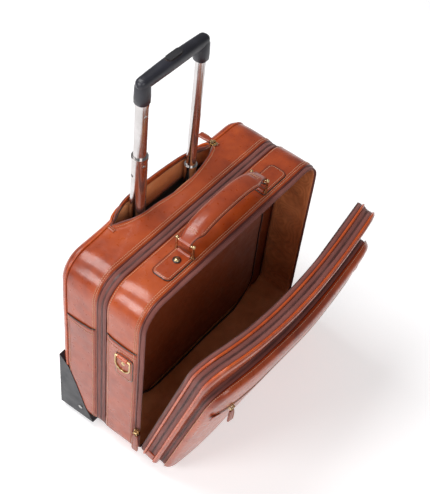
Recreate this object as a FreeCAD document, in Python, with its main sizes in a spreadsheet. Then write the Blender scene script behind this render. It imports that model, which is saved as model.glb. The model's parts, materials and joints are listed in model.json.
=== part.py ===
import FreeCAD, Part
import math
import os
import re
import Sketcher

# Rolling laptop case: a soft leather case on two wheels with a telescopic trolley handle, a rear
# overnight section, a front laptop section and a fold-down organiser flap with its own pocket.
# Frame: +X to the right, +Y to the back (the trolley side), +Z up, floor at Z = 0, X = 0 midway
# across and Y = 0 in the seam between the rear section and the zip in front of it.
# The case stands with the flap open and the handle part-way out. Millimetres and degrees.

SIZES = {
    # Case body
    "case_width": 420, "case_height": 346, "ground_gap": 20,
    "corner_radius": 42, "foot_radius": 15, "wall": 3, "cloth": 1,
    # Depth of each layer, from the back to the front
    "rear_depth": 72, "back_rim": 14, "back_radius": 13, "cord": 2, "rear_tape": 7,
    "front_depth": 62, "main_tape": 8, "tape_inset": 1, "tape_thick": 2,
    "cord_proud": 1, "cord_wall": 3.5,
    # Flap, measured closed and then swung open about its bottom edge
    "flap_base": 24, "flap_height": 338, "flap_open": 14.5, "organiser_tape": 18, "board": 3,
    "pocket_width": 404, "pocket_height": 284, "pocket_tape": 11, "pocket_edge": 10,
    "pocket_crown": 23.5, "pocket_wall": 2.5, "slit_height": 239, "slit_half": 185, "slit_tape": 10,
    "slit_thick": 0.5, "slit_start": 155, "slit_travel": 60, "slit_lift": 0.75,
    # Trolley
    "tube_space": 62, "tube_back": 54, "outer_radius": 13.5, "first_radius": 11.75,
    "second_radius": 9.5, "third_radius": 7.75, "third_bore": 6.2, "slide_gap": 0.1,
    "tube_foot": 36, "outer_top": 264, "collar": 5, "collar_lip": 0.7, "foot_step": 3,
    "first_out_left": 203, "second_out": 92, "third_out_right": 203,
    "well_half": 119, "well_front": 40, "well_back": 68, "well_edge": 1.2, "lip_depth": 7,
    "well_top": 352, "bracket_half": 90,
    # Grip
    "grip_half": 73, "grip_height": 42, "grip_depth": 20, "grip_leg": 21, "grip_arch": 5,
    "grip_round": 4, "socket": 17, "button_half": 15, "button_width": 10, "button_proud": 3,
    "rod_radius": 2.5, "rod_bar": 4, "rod_length": 245,
    # Wheels
    "wheel_radius": 25, "hub_radius": 17, "wheel_width": 20, "wheel_x": 188, "wheel_back": 52,
    "axle_radius": 4, "axle_gap": 0.05, "arch_radius": 29, "arch_width": 24,
    "housing_inner": 165, "housing_proud": 3, "housing_back": 74, "housing_top": 140,
    "screw_back": 31, "screw_up": 34.5, "screw_radius": 2, "screw_head": 3.6,
    "pad_radius": 10, "pad_x": 170, "pad_front": 62,
    # Laptop sleeve, and the trim on the front section
    "sleeve_half": 170, "sleeve_top": 300,
    "centre_line": -54, "tab_inner": 80, "tab_outer": 143, "tab_width": 32, "tab_thick": 2.5,
    "ring_x": 87, "ring_low": 370.5, "ring_rise": 22, "ring_half": 14.7, "ring_wire": 1.7,
    "rivet_x": 103, "rivet_radius": 4.5, "strap_rise": 21, "strap_thick": 9, "strap_width": 28,
    "loop_width": 24.8,
    "overlay": 1.2, "ring_d_up": 250, "ring_d_half": 13.5, "ring_d_side": 16, "ring_d_wire": 1.4,
    # Zip sliders and their pulls
    "slider_long": 12, "slider_wide": 9, "slider_thick": 4, "slider_gap": 0.05,
    "pull_wide": 9, "pull_thick": 2, "pin_radius": 1, "eye_wall": 0.9, "eye_gap": 0.1,
    "trolley_pull": 27, "main_pull": 48, "slit_pull": 32,
}

doc = FreeCAD.newDocument("RollingLaptopCase")
sheet = doc.addObject("Spreadsheet::Sheet", "Size")
for row, (alias, number) in enumerate(SIZES.items(), start=1):
    sheet.set(f"A{row}", str(number))
    sheet.setAlias(f"A{row}", alias)
doc.recompute()

ALIAS = re.compile(r"\b(" + "|".join(SIZES) + r")\b")
PARTS = {}
V = FreeCAD.Vector
X_AXIS = V(1, 0, 0)
Y_AXIS = V(0, 1, 0)
Z_AXIS = V(0, 0, 1)


def formula(text):
    """The text as an expression in which each size name reads its cell."""
    return ALIAS.sub(r"Size.\1", str(text))


def size(text):
    """The number that a formula gives."""
    return float(sheet.evalExpression(formula(text)))


def bind(thing, **sizes):
    """Bind properties of an object to formulas."""
    for name, text in sizes.items():
        thing.setExpression(name, formula(text))
    return thing


def place(thing, x="0", y="0", z="0", axis=Z_AXIS, angle=0):
    """Turn an object and put its origin at a bound place."""
    thing.Placement = FreeCAD.Placement(V(size(x), size(y), size(z)), FreeCAD.Rotation(axis, angle))
    for name, text in (("x", x), ("y", y), ("z", z)):
        thing.setExpression("Placement.Base." + name, formula(text))
    return thing


def part(label, thing):
    """Name a finished sub-part."""
    thing.Label = label
    PARTS[label] = thing
    return thing


# ---- PartDesign helpers -------------------------------------------------------------------------

def new_body(name):
    return doc.addObject("PartDesign::Body", name)


def new_sketch(body, plane, name="Outline", lift=None):
    """A sketch on one of the body's own origin planes, lifted off it along the plane's normal."""
    sketch = body.newObject("Sketcher::SketchObject", name)
    origin_plane = [f for f in body.Origin.OriginFeatures if f.Role == plane]
    sketch.AttachmentSupport = [(origin_plane[0], "")]
    sketch.MapMode = "FlatFace"
    if lift is not None:
        sketch.AttachmentOffset = FreeCAD.Placement(V(0, 0, size(lift)), FreeCAD.Rotation())
        sketch.setExpression("AttachmentOffset.Base.z", formula(lift))
    return sketch


def fix(sketch, kind, *where, to):
    """A dimension in a sketch, bound to a formula."""
    index = sketch.addConstraint(Sketcher.Constraint(kind, *where, size(to)))
    sketch.setExpression(f"Constraints[{index}]", formula(to))


def add_outline(sketch, shape, inset="0"):
    """A rectangle on the floor line with round top and bottom corners, set in by a distance."""
    half = size(shape["width"]) / 2 - size(inset)
    low = size(shape["low"]) + size(inset)
    high = size(shape["high"]) - size(inset)
    top = size(shape["top"]) - size(inset)
    foot = size(shape["foot"]) - size(inset)
    corners = [(half - foot, low + foot, foot, -90), (half - top, high - top, top, 0),
               (top - half, high - top, top, 90), (foot - half, low + foot, foot, 180)]
    first = sketch.GeometryCount
    ends = []
    for x, z, radius, start in corners:
        circle = Part.Circle(V(x, z, 0), Z_AXIS, radius)
        arc = Part.ArcOfCircle(circle, math.radians(start), math.radians(start + 90))
        sketch.addGeometry(arc, False)
        ends.append((arc.StartPoint, arc.EndPoint))
    for corner in range(4):
        line = Part.LineSegment(ends[corner][1], ends[(corner + 1) % 4][0])
        sketch.addGeometry(line, False)
        sketch.addConstraint(Sketcher.Constraint("Tangent", first + corner, 2, first + 4 + corner, 1))
        following = first + (corner + 1) % 4
        sketch.addConstraint(Sketcher.Constraint("Tangent", first + 4 + corner, 2, following, 1))
    right, upper, left, lower = (first + 4 + side for side in range(4))
    for line, kind in ((right, "Vertical"), (left, "Vertical"), (upper, "Horizontal"), (lower, "Horizontal")):
        sketch.addConstraint(Sketcher.Constraint(kind, line))
    sketch.addConstraint(Sketcher.Constraint("Equal", first, first + 3))
    sketch.addConstraint(Sketcher.Constraint("Equal", first + 1, first + 2))
    fix(sketch, "Radius", first, to=f"{shape['foot']} - ({inset})")
    fix(sketch, "Radius", first + 1, to=f"{shape['top']} - ({inset})")
    fix(sketch, "DistanceX", -1, 1, right, 1, to=f"({shape['width']}) / 2 - ({inset})")
    fix(sketch, "DistanceX", left, 1, -1, 1, to=f"({shape['width']}) / 2 - ({inset})")
    fix(sketch, "DistanceY", -1, 1, lower, 1, to=f"{shape['low']} + ({inset})")
    fix(sketch, "DistanceY", -1, 1, upper, 1, to=f"{shape['high']} - ({inset})")


def add_polygon(sketch, points):
    """A closed outline through bound points."""
    places = [V(size(x), size(y), 0) for x, y in points]
    first = sketch.GeometryCount
    count = len(points)
    for i, start in enumerate(places):
        sketch.addGeometry(Part.LineSegment(start, places[(i + 1) % count]), False)
    for i, (x, y) in enumerate(points):
        sketch.addConstraint(Sketcher.Constraint("Coincident", first + i, 2, first + (i + 1) % count, 1))
        for kind, text in (("DistanceX", x), ("DistanceY", y)):
            if size(text):
                fix(sketch, kind, -1, 1, first + i, 1, to=text)


def add_feature(body, kind, sketch, **settings):
    """A pad, pocket, revolution or groove on a sketch; formulas are bound, other values set."""
    feature = body.newObject("PartDesign::" + kind, kind)
    feature.Profile = sketch
    for name, value in settings.items():
        if isinstance(value, str):
            feature.setExpression(name, formula(value))
        else:
            setattr(feature, name, value)
    sketch.Visibility = False
    doc.recompute()
    return feature


def dress(body, kind, base, names, **settings):
    """A fillet, chamfer or thickness on edges or faces of the feature before it."""
    feature = body.newObject("PartDesign::" + kind, kind)
    feature.Base = (base, names)
    for name, value in settings.items():
        if isinstance(value, str):
            feature.setExpression(name, formula(value))
        else:
            setattr(feature, name, value)
    doc.recompute()
    return feature


def edge_names(feature, test):
    """The names of a feature's edges that pass a test."""
    return [f"Edge{i}" for i, edge in enumerate(feature.Shape.Edges, start=1) if test(edge)]


def face_names(feature, test):
    """The names of a feature's faces that pass a test."""
    return [f"Face{i}" for i, face in enumerate(feature.Shape.Faces, start=1) if test(face)]


# ---- Part helpers -------------------------------------------------------------------------------

def make_box(low, high, name="Box"):
    """A box between two corners given as formulas."""
    box = doc.addObject("Part::Box", name)
    spans = [f"({b}) - ({a})" for a, b in zip(low, high)]
    bind(box, Length=spans[0], Width=spans[1], Height=spans[2])
    return place(box, *low)


def make_rod(radius, length, x, y, z, axis=Z_AXIS, angle=0, name="Rod"):
    """A cylinder from a bound place; it points along +Z unless turned."""
    rod = doc.addObject("Part::Cylinder", name)
    bind(rod, Radius=radius, Height=length)
    return place(rod, x, y, z, axis, angle)


def along_x(radius, length, x, y, z):
    return make_rod(radius, length, x, y, z, Y_AXIS, 90)


def along_y(radius, length, x, y, z):
    """A cylinder that runs towards -Y."""
    return make_rod(radius, length, x, y, z, X_AXIS, 90)


def join(*pieces, name="Join"):
    """One solid from touching or overlapping pieces."""
    fuse = doc.addObject("Part::MultiFuse", name)
    fuse.Shapes = list(pieces)
    return fuse


def group(*pieces, name="Group"):
    """Separate solids that share a node."""
    compound = doc.addObject("Part::Compound", name)
    compound.Links = list(pieces)
    return compound


def cut(base, tool, name="Cut"):
    """The base less the tool."""
    result = doc.addObject("Part::Cut", name)
    result.Base = base
    result.Tool = tool
    return result


def tube(outer, inner, low, high, x, y):
    """An upright tube."""
    barrel = make_rod(outer, f"({high}) - ({low})", x, y, low)
    bore = make_rod(inner, f"({high}) - ({low})", x, y, low)
    return cut(barrel, bore, "Tube")


# ---- Outlines and layers ------------------------------------------------------------------------

CASE = {"width": "case_width", "low": "ground_gap", "high": "ground_gap + case_height",
        "top": "corner_radius", "foot": "foot_radius"}
FLAP = {"width": "case_width", "low": "flap_base", "high": "flap_base + flap_height",
        "top": "corner_radius", "foot": "foot_radius"}
POCKET = {"width": "pocket_width", "low": "flap_base", "high": "flap_base + pocket_height",
          "top": "corner_radius", "foot": "foot_radius"}

# Planes between layers, as formulas in Y
REAR_CORD = "0 - cord"
ZIP_SPLIT = "0 - cord - rear_tape"
FRONT_BACK = "0 - cord - 2 * rear_tape"
FRONT_FACE = "0 - cord - 2 * rear_tape - cord - front_depth"
HINGE = "0 - cord - 2 * rear_tape - cord - front_depth - main_tape"
FLAP_CORD = HINGE + " - main_tape"
ORGANISER = FLAP_CORD + " - cord"
SECOND_CORD = ORGANISER + " - organiser_tape"
FLAP_BOARD = SECOND_CORD + " - cord"
POCKET_BACK = FLAP_BOARD + " - board"
POCKET_PAN = POCKET_BACK + " - pocket_tape"
POCKET_FRONT = POCKET_PAN + " - pocket_edge - pocket_crown"
FRONT_LEATHER = FRONT_BACK + " - cord"
CASE_TOP = "ground_gap + case_height"


def stand(body, back):
    """Put a body drawn on the XZ plane at its back plane in the case."""
    return place(body, y=back)


def swing(thing, back="0"):
    """Put a flap piece, drawn with the flap closed, where the open flap carries it."""
    turn = "flap_open"
    y = f"({HINGE}) + (({back}) - ({HINGE})) * cos({turn} * 1 deg) + flap_base * sin({turn} * 1 deg)"
    z = f"flap_base + (({back}) - ({HINGE})) * sin({turn} * 1 deg) - flap_base * cos({turn} * 1 deg)"
    return place(thing, "0", y, z, X_AXIS, size(turn))


def layer(name, shape, depth, inset="0", wall=None):
    """A plate with a case outline, or a frame when it has a wall, drawn forward from Y = 0."""
    body = new_body(name)
    sketch = new_sketch(body, "XZ_Plane")
    add_outline(sketch, shape, inset)
    if wall is not None:
        add_outline(sketch, shape, f"{inset} + {wall}")
    add_feature(body, "Pad", sketch, Length=depth)
    return body


def pan(name, shape, depth, rounding, wall):
    """A shallow box, open to the front, whose flat back is at Y = 0 and has a rounded rim."""
    body = new_body(name)
    sketch = new_sketch(body, "XZ_Plane")
    add_outline(sketch, shape)
    pad = add_feature(body, "Pad", sketch, Length=depth)

    def on_plane(part_of_shape, level):
        box = part_of_shape.BoundBox
        return abs(box.YMin - level) < 0.01 and abs(box.YMax - level) < 0.01

    rim = edge_names(pad, lambda edge: on_plane(edge, 0))
    round_rim = dress(body, "Fillet", pad, rim, Radius=rounding)
    mouth = face_names(round_rim, lambda face: on_plane(face, -size(depth)))
    dress(body, "Thickness", round_rim, mouth, Value=wall, Reversed=True)
    return body


# ---- Wheel housings, wheels and feet ------------------------------------------------------------

# Side view of a wheel housing, from the foot of its back edge round to the front toe
HOUSING_PROFILE = [("housing_back", "10"), ("housing_back", "housing_top"), ("55", "122"),
                   ("38", "84"), ("23", "45"), ("5", "14")]
HOUSING_HOLLOW = [("housing_back - wall", "62"), ("housing_back - wall", "housing_top - 6"),
                  ("57", "118"), ("43", "86"), ("33", "62")]


def side_prism(profile, low_x, high_x, name):
    """A profile in Y and Z, padded between two X places."""
    body = new_body(name)
    sketch = new_sketch(body, "YZ_Plane", lift=low_x)
    add_polygon(sketch, profile)
    add_feature(body, "Pad", sketch, Length=f"({high_x}) - ({low_x})")
    return body


HOUSING_OUTER = "case_width / 2 + housing_proud"


def side_range(side, inner, outer):
    """The lower and upper X of a span given by distances from the middle."""
    return (inner, outer) if side > 0 else (f"-({outer})", f"-({inner})")


def housing_block(side):
    return side_prism(HOUSING_PROFILE, *side_range(side, "housing_inner", HOUSING_OUTER), "Block")


HOUSING_SPACE = group(housing_block(-1), housing_block(1), name="HousingSpace")


def wheel_housing(side):
    """The moulded corner that holds a wheel: hollow above, with an arch open below and behind."""
    block = housing_block(side)
    hollow_x = side_range(side, "housing_inner + wall", HOUSING_OUTER + " - wall")
    hollow = side_prism(HOUSING_HOLLOW, *hollow_x, "Hollow")
    arch_x = side_range(side, "wheel_x - arch_width / 2", "wheel_x + arch_width / 2")[0]
    arch = along_x("arch_radius", "arch_width", arch_x, "wheel_back", "wheel_radius")
    axle_x = side_range(side, "housing_inner", HOUSING_OUTER + " - 1")[0]
    length = HOUSING_OUTER + " - 1 - housing_inner"
    axle_bore = along_x("axle_radius", length, axle_x, "wheel_back", "wheel_radius")
    screw_x = side_range(side, HOUSING_OUTER + " - 8", HOUSING_OUTER)[0]
    screw_bore = along_x("screw_radius", "8", screw_x, "screw_back", "screw_up")
    return cut(block, join(hollow, arch, axle_bore, screw_bore))


def wheel_axles():
    """A pin across each wheel arch."""
    pins = []
    for side in (-1, 1):
        low = side_range(side, "housing_inner", HOUSING_OUTER + " - 1")[0]
        length = HOUSING_OUTER + " - 1 - housing_inner"
        pins.append(along_x("axle_radius", length, low, "wheel_back", "wheel_radius"))
    return group(*pins)


def housing_screws():
    """A pan-head screw in the side of each housing."""
    screws = []
    for side in (-1, 1):
        shank_x = side_range(side, HOUSING_OUTER + " - 8", HOUSING_OUTER)[0]
        head_x = side_range(side, HOUSING_OUTER, HOUSING_OUTER + " + 1.2")[0]
        shank = along_x("screw_radius", "8", shank_x, "screw_back", "screw_up")
        head = along_x("screw_head", "1.2", head_x, "screw_back", "screw_up")
        screws.append(join(shank, head))
    return group(*screws)


def revolved_ring(name, profile, side):
    """A wheel part turned about the axle; the profile gives radius and distance from its middle."""
    body = new_body(name)
    sketch = new_sketch(body, "XY_Plane")
    add_polygon(sketch, profile)
    add_feature(body, "Revolution", sketch, ReferenceAxis=(sketch, ["H_Axis"]), Angle=360.0)
    return place(body, "wheel_x" if side > 0 else "-wheel_x", "wheel_back", "wheel_radius")


def wheel_hub(side):
    half = "wheel_width / 2"
    bore = "axle_radius + axle_gap"
    boss, web, rim = "axle_radius + 4", "axle_radius + 5", "hub_radius - 3"
    profile = [(f"-{half}", bore), (half, bore), (half, boss), (f"{half} - 3", web), (f"{half} - 3", rim),
               (f"{half} - 1", "hub_radius"), (f"1 - {half}", "hub_radius"), (f"3 - {half}", rim),
               (f"3 - {half}", web), (f"-{half}", boss)]
    return revolved_ring("Hub", profile, side)


def wheel_tyre(side):
    half = "wheel_width / 2 - 1"
    profile = [(f"-({half})", "hub_radius"), (half, "hub_radius"), (half, "wheel_radius - 2.5"),
               (f"{half} - 2.5", "wheel_radius"), (f"2.5 - ({half})", "wheel_radius"),
               (f"-({half})", "wheel_radius - 2.5")]
    return revolved_ring("Tyre", profile, side)


def front_feet():
    """Two round studs that hold the front level with the wheels."""
    return group(*(make_rod("pad_radius", "ground_gap", x, "-pad_front", "0") for x in ("-pad_x", "pad_x")))


# ---- Rear section -------------------------------------------------------------------------------

def slot(half, front, back, low, high):
    """An upright slot-shaped solid with round ends."""
    radius = f"(({back}) - ({front})) / 2"
    middle = f"(({back}) + ({front})) / 2"
    straight = make_box((f"{radius} - {half}", front, low), (f"{half} - {radius}", back, high))
    height = f"({high}) - ({low})"
    ends = [make_rod(radius, height, f"{sign}({half} - {radius})", middle, low) for sign in ("-", "")]
    return join(straight, *ends)


def well_slot(edge="0"):
    """The opening in the top that the trolley handle passes through."""
    return slot(f"(well_half - {edge})", f"(well_front + {edge})", f"(well_back - {edge})",
                CASE_TOP + " - lip_depth", CASE_TOP + " + 0.5")


def rear_gusset():
    frame = stand(layer("Gusset", CASE, "rear_depth - back_rim", wall="wall"), "rear_depth - back_rim")
    return cut(frame, join(HOUSING_SPACE, well_slot()))


def back_panel():
    cover = stand(pan("Cover", CASE, "back_rim", "back_radius", "wall"), "rear_depth")
    return cut(cover, join(HOUSING_SPACE, well_slot()))


def cord_ring(name, shape, back):
    """Piping laid round the case in a seam, a little proud of the leather."""
    return stand(layer(name, shape, "cord", "-cord_proud", "cord_wall"), back)


def tape_ring(name, shape, back, depth):
    """Zip tape round the case, a little below the leather."""
    return stand(layer(name, shape, depth, "tape_inset", "tape_thick"), back)


def rear_lining():
    frame = stand(layer("Lining", CASE, "40", "wall", "cloth"), "34")
    return cut(frame, HOUSING_SPACE)


def frame_board():
    """The stiff board that the trolley tubes stand behind."""
    return cut(stand(layer("Board", CASE, "2", "wall + cloth"), "36"), HOUSING_SPACE)


def trolley_well():
    """The cloth sleeve round the tubes, open above and below."""
    outer = make_box(("-well_half - 3", "well_front - 2", "outer_top"),
                     ("well_half + 3", "well_back + 0.9", "well_top"))
    inner = make_box(("-well_half - 2", "well_front - 1", "outer_top"),
                     ("well_half + 2", "well_back - 0.1", "well_top"))
    return cut(outer, inner)


def trolley_brackets():
    """Two blocks that hold the fixed tubes, at their feet and near their tops."""
    blocks = []
    foot_bracket = ("tube_foot - 2", "tube_foot + 8", "tube_foot")
    top_bracket = ("outer_top - 14", "outer_top - 2", "outer_top - 14")
    for low, high, bore_low in (foot_bracket, top_bracket):
        block = make_box(("-bracket_half", "well_front - 2", low), ("bracket_half", "well_back + 0.9", high))
        bores = [make_rod("outer_radius", f"{high} - ({bore_low})", x, "tube_back", bore_low)
                 for x in ("-tube_space", "tube_space")]
        blocks.append(cut(block, join(*bores)))
    return group(*blocks)


def side_panels(back, front, low, high_back, high_front, avoid=None):
    """A slip panel sewn to each side of a section."""
    plates = []
    outline = [(back, low), (back, high_back), (front, high_front), (front, low)]
    for side in (-1, 1):
        span = side_range(side, "case_width / 2", "case_width / 2 + overlay")
        plates.append(side_prism(outline, *span, "Panel"))
    panels = group(*plates)
    return cut(panels, avoid) if avoid else panels


# ---- Trolley ------------------------------------------------------------------------------------

FIRST_TOP = "outer_top + collar"
SECOND_TOP = "outer_top + 2 * collar"


def stage_tube(side, radius, bore, foot, top, raised):
    """One moving stage: a tube with a collar on top, drawn raised from its lowest place."""
    x = "tube_space" if side > 0 else "-tube_space"
    base = f"({foot}) + ({raised})"
    barrel = tube(radius, bore, base, f"({top}) + ({raised})", x, "tube_back")
    ring = tube(f"{radius} + collar_lip", bore, f"({top}) - collar + ({raised})", f"({top}) + ({raised})",
                x, "tube_back")
    return join(barrel, ring)


def first_stage(side):
    raised = "first_out_left" if side < 0 else "0"
    return stage_tube(side, "first_radius", "second_radius + slide_gap", "tube_foot + foot_step",
                      FIRST_TOP, raised)


def second_stage(side):
    raised = "second_out + first_out_left" if side < 0 else "second_out"
    return stage_tube(side, "second_radius", "third_radius + slide_gap", "tube_foot + 2 * foot_step",
                      SECOND_TOP, raised)


GRIP_BASE = SECOND_TOP + " + second_out + third_out_right"


def inner_tubes():
    low = f"tube_foot + 3 * foot_step + second_out + third_out_right"
    return group(*(tube("third_radius", "third_bore", low, GRIP_BASE + " + socket", x, "tube_back")
                   for x in ("-tube_space", "tube_space")))


def outer_tubes():
    return group(*(tube("outer_radius", "first_radius + slide_gap", "tube_foot", "outer_top", x, "tube_back")
                   for x in ("-tube_space", "tube_space")))


def grip():
    """The moulded handle: a bridge on two legs, hollow for the release bar."""
    body = new_body("Bridge")
    sketch = new_sketch(body, "XZ_Plane")
    base = GRIP_BASE
    inner = "grip_half - grip_leg"
    under = f"{base} + grip_leg"
    shoulder = f"{base} + grip_height - grip_arch"
    crown = f"{base} + grip_height"
    add_polygon(sketch, [
        ("-grip_half", base), (f"-({inner})", base), (f"-({inner})", under), (inner, under),
        (inner, base), ("grip_half", base), ("grip_half", f"{shoulder} - 8"), ("grip_half - 8", shoulder),
        ("grip_half / 3", crown), ("-grip_half / 3", crown), ("8 - grip_half", shoulder),
        ("-grip_half", f"{shoulder} - 8")])
    pad = add_feature(body, "Pad", sketch, Length="grip_depth")

    def along_outline(edge):
        box = edge.BoundBox
        return abs(box.YMin - box.YMax) < 0.01 and box.ZMin > size(base) + 0.01

    dress(body, "Fillet", pad, edge_names(pad, along_outline), Radius="grip_round")
    place(body, y="tube_back + grip_depth / 2")
    sockets = [make_rod("third_radius", "socket", x, "tube_back", base)
               for x in ("-tube_space", "tube_space")]
    channel = make_box(("-tube_space - 3.5", "tube_back - 4", f"{base} + socket"),
                       ("tube_space + 3.5", "tube_back + 4", f"{base} + socket + 12"))
    button_hole = button_solid("0.1", f"{base} + socket", f"{crown} + 1")
    return cut(body, join(*sockets, channel, button_hole))


def button_solid(gap, low, high):
    """A bar with round ends, as long as the button plus a gap all round."""
    radius = f"(button_width / 2 + {gap})"
    half = f"(button_half + {gap})"
    middle = make_box((f"{radius} - {half}", f"tube_back - {radius}", low),
                      (f"{half} - {radius}", f"tube_back + {radius}", high))
    ends = [make_rod(radius, f"({high}) - ({low})", f"{sign}({half} - {radius})", "tube_back", low)
            for sign in ("-", "")]
    return join(middle, *ends)


BAR_LOW = GRIP_BASE + " + socket + 4"


def release_button():
    return button_solid("0", f"{BAR_LOW} + rod_bar", GRIP_BASE + " + grip_height + button_proud")


def release_rods():
    """A cross bar in the grip with a rod down each inner tube to the latches."""
    bar = make_box(("-tube_space - 2.5", "tube_back - 3", BAR_LOW),
                   ("tube_space + 2.5", "tube_back + 3", f"{BAR_LOW} + rod_bar"))
    rods = [make_rod("rod_radius", "rod_length", x, "tube_back", f"{BAR_LOW} - rod_length")
            for x in ("-tube_space", "tube_space")]
    return join(bar, *rods)


# ---- Front section ------------------------------------------------------------------------------

SLEEVE = {"width": "2 * sleeve_half", "low": "ground_gap + 8", "high": "sleeve_top", "top": "6", "foot": "22"}


def front_gusset():
    return stand(layer("Gusset", CASE, "front_depth - cord", wall="wall"), FRONT_LEATHER)


def front_piping():
    """The cords in the seams behind and before the front section."""
    return group(cord_ring("BackCord", CASE, FRONT_BACK),
                 cord_ring("FrontCord", CASE, FRONT_FACE + " + cord"))


def divider_wall():
    return stand(layer("Divider", CASE, "wall", "wall"), FRONT_LEATHER)


def front_lining():
    depth = f"({FRONT_LEATHER} - wall) - ({HINGE}) - 2"
    return stand(layer("Lining", CASE, depth, "wall", "cloth"), FRONT_LEATHER + " - wall")


def laptop_sleeve():
    """A padded pocket on the divider, open at the top."""
    outer = stand(layer("Sleeve", SLEEVE, "14"), FRONT_LEATHER + " - wall")
    back = f"({FRONT_LEATHER} - wall)"
    inner = make_box(("6 - sleeve_half", f"{back} - 11", "ground_gap + 13"),
                     ("sleeve_half - 6", f"{back} - 3", "sleeve_top + 1"))
    return cut(outer, inner)


def handle_tabs():
    """A leather tab each side of the handle, rounded outside and folded round the ring inside."""
    tabs = []
    for side in (-1, 1):
        low, high = side_range(side, "tab_inner", "tab_outer")
        body = new_body("Tab")
        sketch = new_sketch(body, "XY_Plane")
        near, far = "centre_line - tab_width / 2", "centre_line + tab_width / 2"
        add_polygon(sketch, [(low, near), (high, near), (high, far), (low, far)])
        pad = add_feature(body, "Pad", sketch, Length="tab_thick")
        tip = size("tab_outer") * side

        def at_tip(edge):
            box = edge.BoundBox
            return box.ZLength > 1 and box.XLength < 0.01 and abs(box.XMin - tip) < 0.01

        dress(body, "Fillet", pad, edge_names(pad, at_tip), Radius=8.0)
        place(body, z=CASE_TOP)
        x = "ring_x" if side > 0 else "-ring_x"
        fold = along_y("ring_wire + 2.2", "24.8", x, "centre_line + 12.4", "ring_low")
        bore = along_y("ring_wire + axle_gap", "24.8", x, "centre_line + 12.4", "ring_low")
        tabs.append(cut(join(body, fold), bore))
    return group(*tabs)


def ring_plate(side, inner, outer, half, low, high):
    """A flat leather patch on the side of the case, about the centre line."""
    span = side_range(side, inner, outer)
    return make_box((span[0], f"centre_line - {half}", low), (span[1], f"centre_line + {half}", high))


D_RING_X = "case_width / 2 + 2 * overlay + 2.6"


def dring_tabs():
    """A patch each side with a fold that holds the D-ring."""
    tabs = []
    for side in (-1, 1):
        x = D_RING_X if side > 0 else f"-({D_RING_X})"
        patch = ring_plate(side, "case_width / 2 + overlay", "case_width / 2 + 2 * overlay", "11",
                           "ring_d_up - 24", "ring_d_up + 12")
        fold = along_y("3", "18", x, "centre_line + 9", "ring_d_up")
        bore = along_y("ring_d_wire + axle_gap", "18", x, "centre_line + 9", "ring_d_up")
        tabs.append(cut(join(patch, fold), bore))
    return group(*tabs)


def rivets():
    """Brass rivets through the handle tabs and the D-ring tabs."""
    heads = []
    for sign in ("-", ""):
        tab_top = CASE_TOP + " + tab_thick"
        heads.append(make_rod("rivet_radius", "1.6", sign + "rivet_x", "centre_line", tab_top))
    for side in (-1, 1):
        low = side_range(side, "case_width / 2 + 2 * overlay", "case_width / 2 + 2 * overlay + 1")[0]
        heads.append(along_x("3", "1", low, "centre_line", "ring_d_up - 14"))
    return group(*heads)


def ball(radius, x, y, z):
    sphere = doc.addObject("Part::Sphere", "Ball")
    bind(sphere, Radius=radius)
    return place(sphere, x, y, z)


def handle_ring(side):
    """A rectangular wire ring that stands in its tab and carries one end of the handle."""
    x = "ring_x" if side > 0 else "-ring_x"
    back = "centre_line + ring_half"
    front = "centre_line - ring_half"
    high = "ring_low + ring_rise"
    bars = [along_y("ring_wire", "2 * ring_half", x, back, z) for z in ("ring_low", high)]
    posts = [make_rod("ring_wire", "ring_rise", x, y, "ring_low") for y in (front, back)]
    corners = [ball("ring_wire", x, y, z) for y in (front, back) for z in ("ring_low", high)]
    return join(*bars, *posts, *corners)


def arch(name, half, low, crown, thick, width):
    """A bent strip: two concentric-looking arcs over the same span, padded both ways along Y."""
    body = new_body(name)
    sketch = new_sketch(body, "XZ_Plane")
    ends = []
    for lift in ("0", thick):
        foot, top = f"({low}) + ({lift})", f"({crown}) + ({lift})"
        rise = f"(({crown}) - ({low}))"
        radius = f"(({half}) ^ 2 + {rise} ^ 2) / (2 * {rise})"
        centre = V(0, size(top) - size(radius), 0)
        start = math.asin((size(foot) - centre.y) / size(radius))
        curve = Part.ArcOfCircle(Part.Circle(centre, Z_AXIS, size(radius)), start, math.pi - start)
        index = sketch.addGeometry(curve, False)
        fix(sketch, "Radius", index, to=radius)
        fix(sketch, "DistanceX", -1, 1, index, 1, to=half)
        fix(sketch, "DistanceX", index, 2, -1, 1, to=half)
        fix(sketch, "DistanceY", -1, 1, index, 1, to=foot)
        ends.append((index, curve))
    (inner, inner_arc), (outer, outer_arc) = ends
    for point, place_in, place_out in ((1, inner_arc.StartPoint, outer_arc.StartPoint),
                                       (2, inner_arc.EndPoint, outer_arc.EndPoint)):
        line = sketch.addGeometry(Part.LineSegment(place_in, place_out), False)
        sketch.addConstraint(Sketcher.Constraint("Coincident", line, 1, inner, point))
        sketch.addConstraint(Sketcher.Constraint("Coincident", line, 2, outer, point))
    sketch.addConstraint(Sketcher.Constraint("Horizontal", inner, 1, inner, 2))
    sketch.addConstraint(Sketcher.Constraint("Horizontal", outer, 1, outer, 2))
    add_feature(body, "Pad", sketch, Length=width)
    return place(body, y=f"centre_line + ({width}) / 2")


def carry_handle():
    """A padded strap over the top, looped round a ring at each end."""
    top_bar = "ring_low + ring_rise"
    crown = f"{top_bar} + strap_rise - strap_thick"
    strap = arch("Strap", "ring_x - 2", f"{top_bar} - 1", crown, "5", "loop_width")
    padding = arch("Padding", "ring_x - 21", f"{top_bar} + 3", f"{crown} - 0.5", "strap_thick", "strap_width")
    back = "centre_line + loop_width / 2"
    loops = [along_y("ring_wire + 3", "loop_width", x, back, top_bar) for x in ("-ring_x", "ring_x")]
    bores = [along_y("ring_wire + axle_gap", "loop_width", x, back, top_bar) for x in ("-ring_x", "ring_x")]
    return cut(join(strap, padding, *loops), join(*bores))


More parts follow.
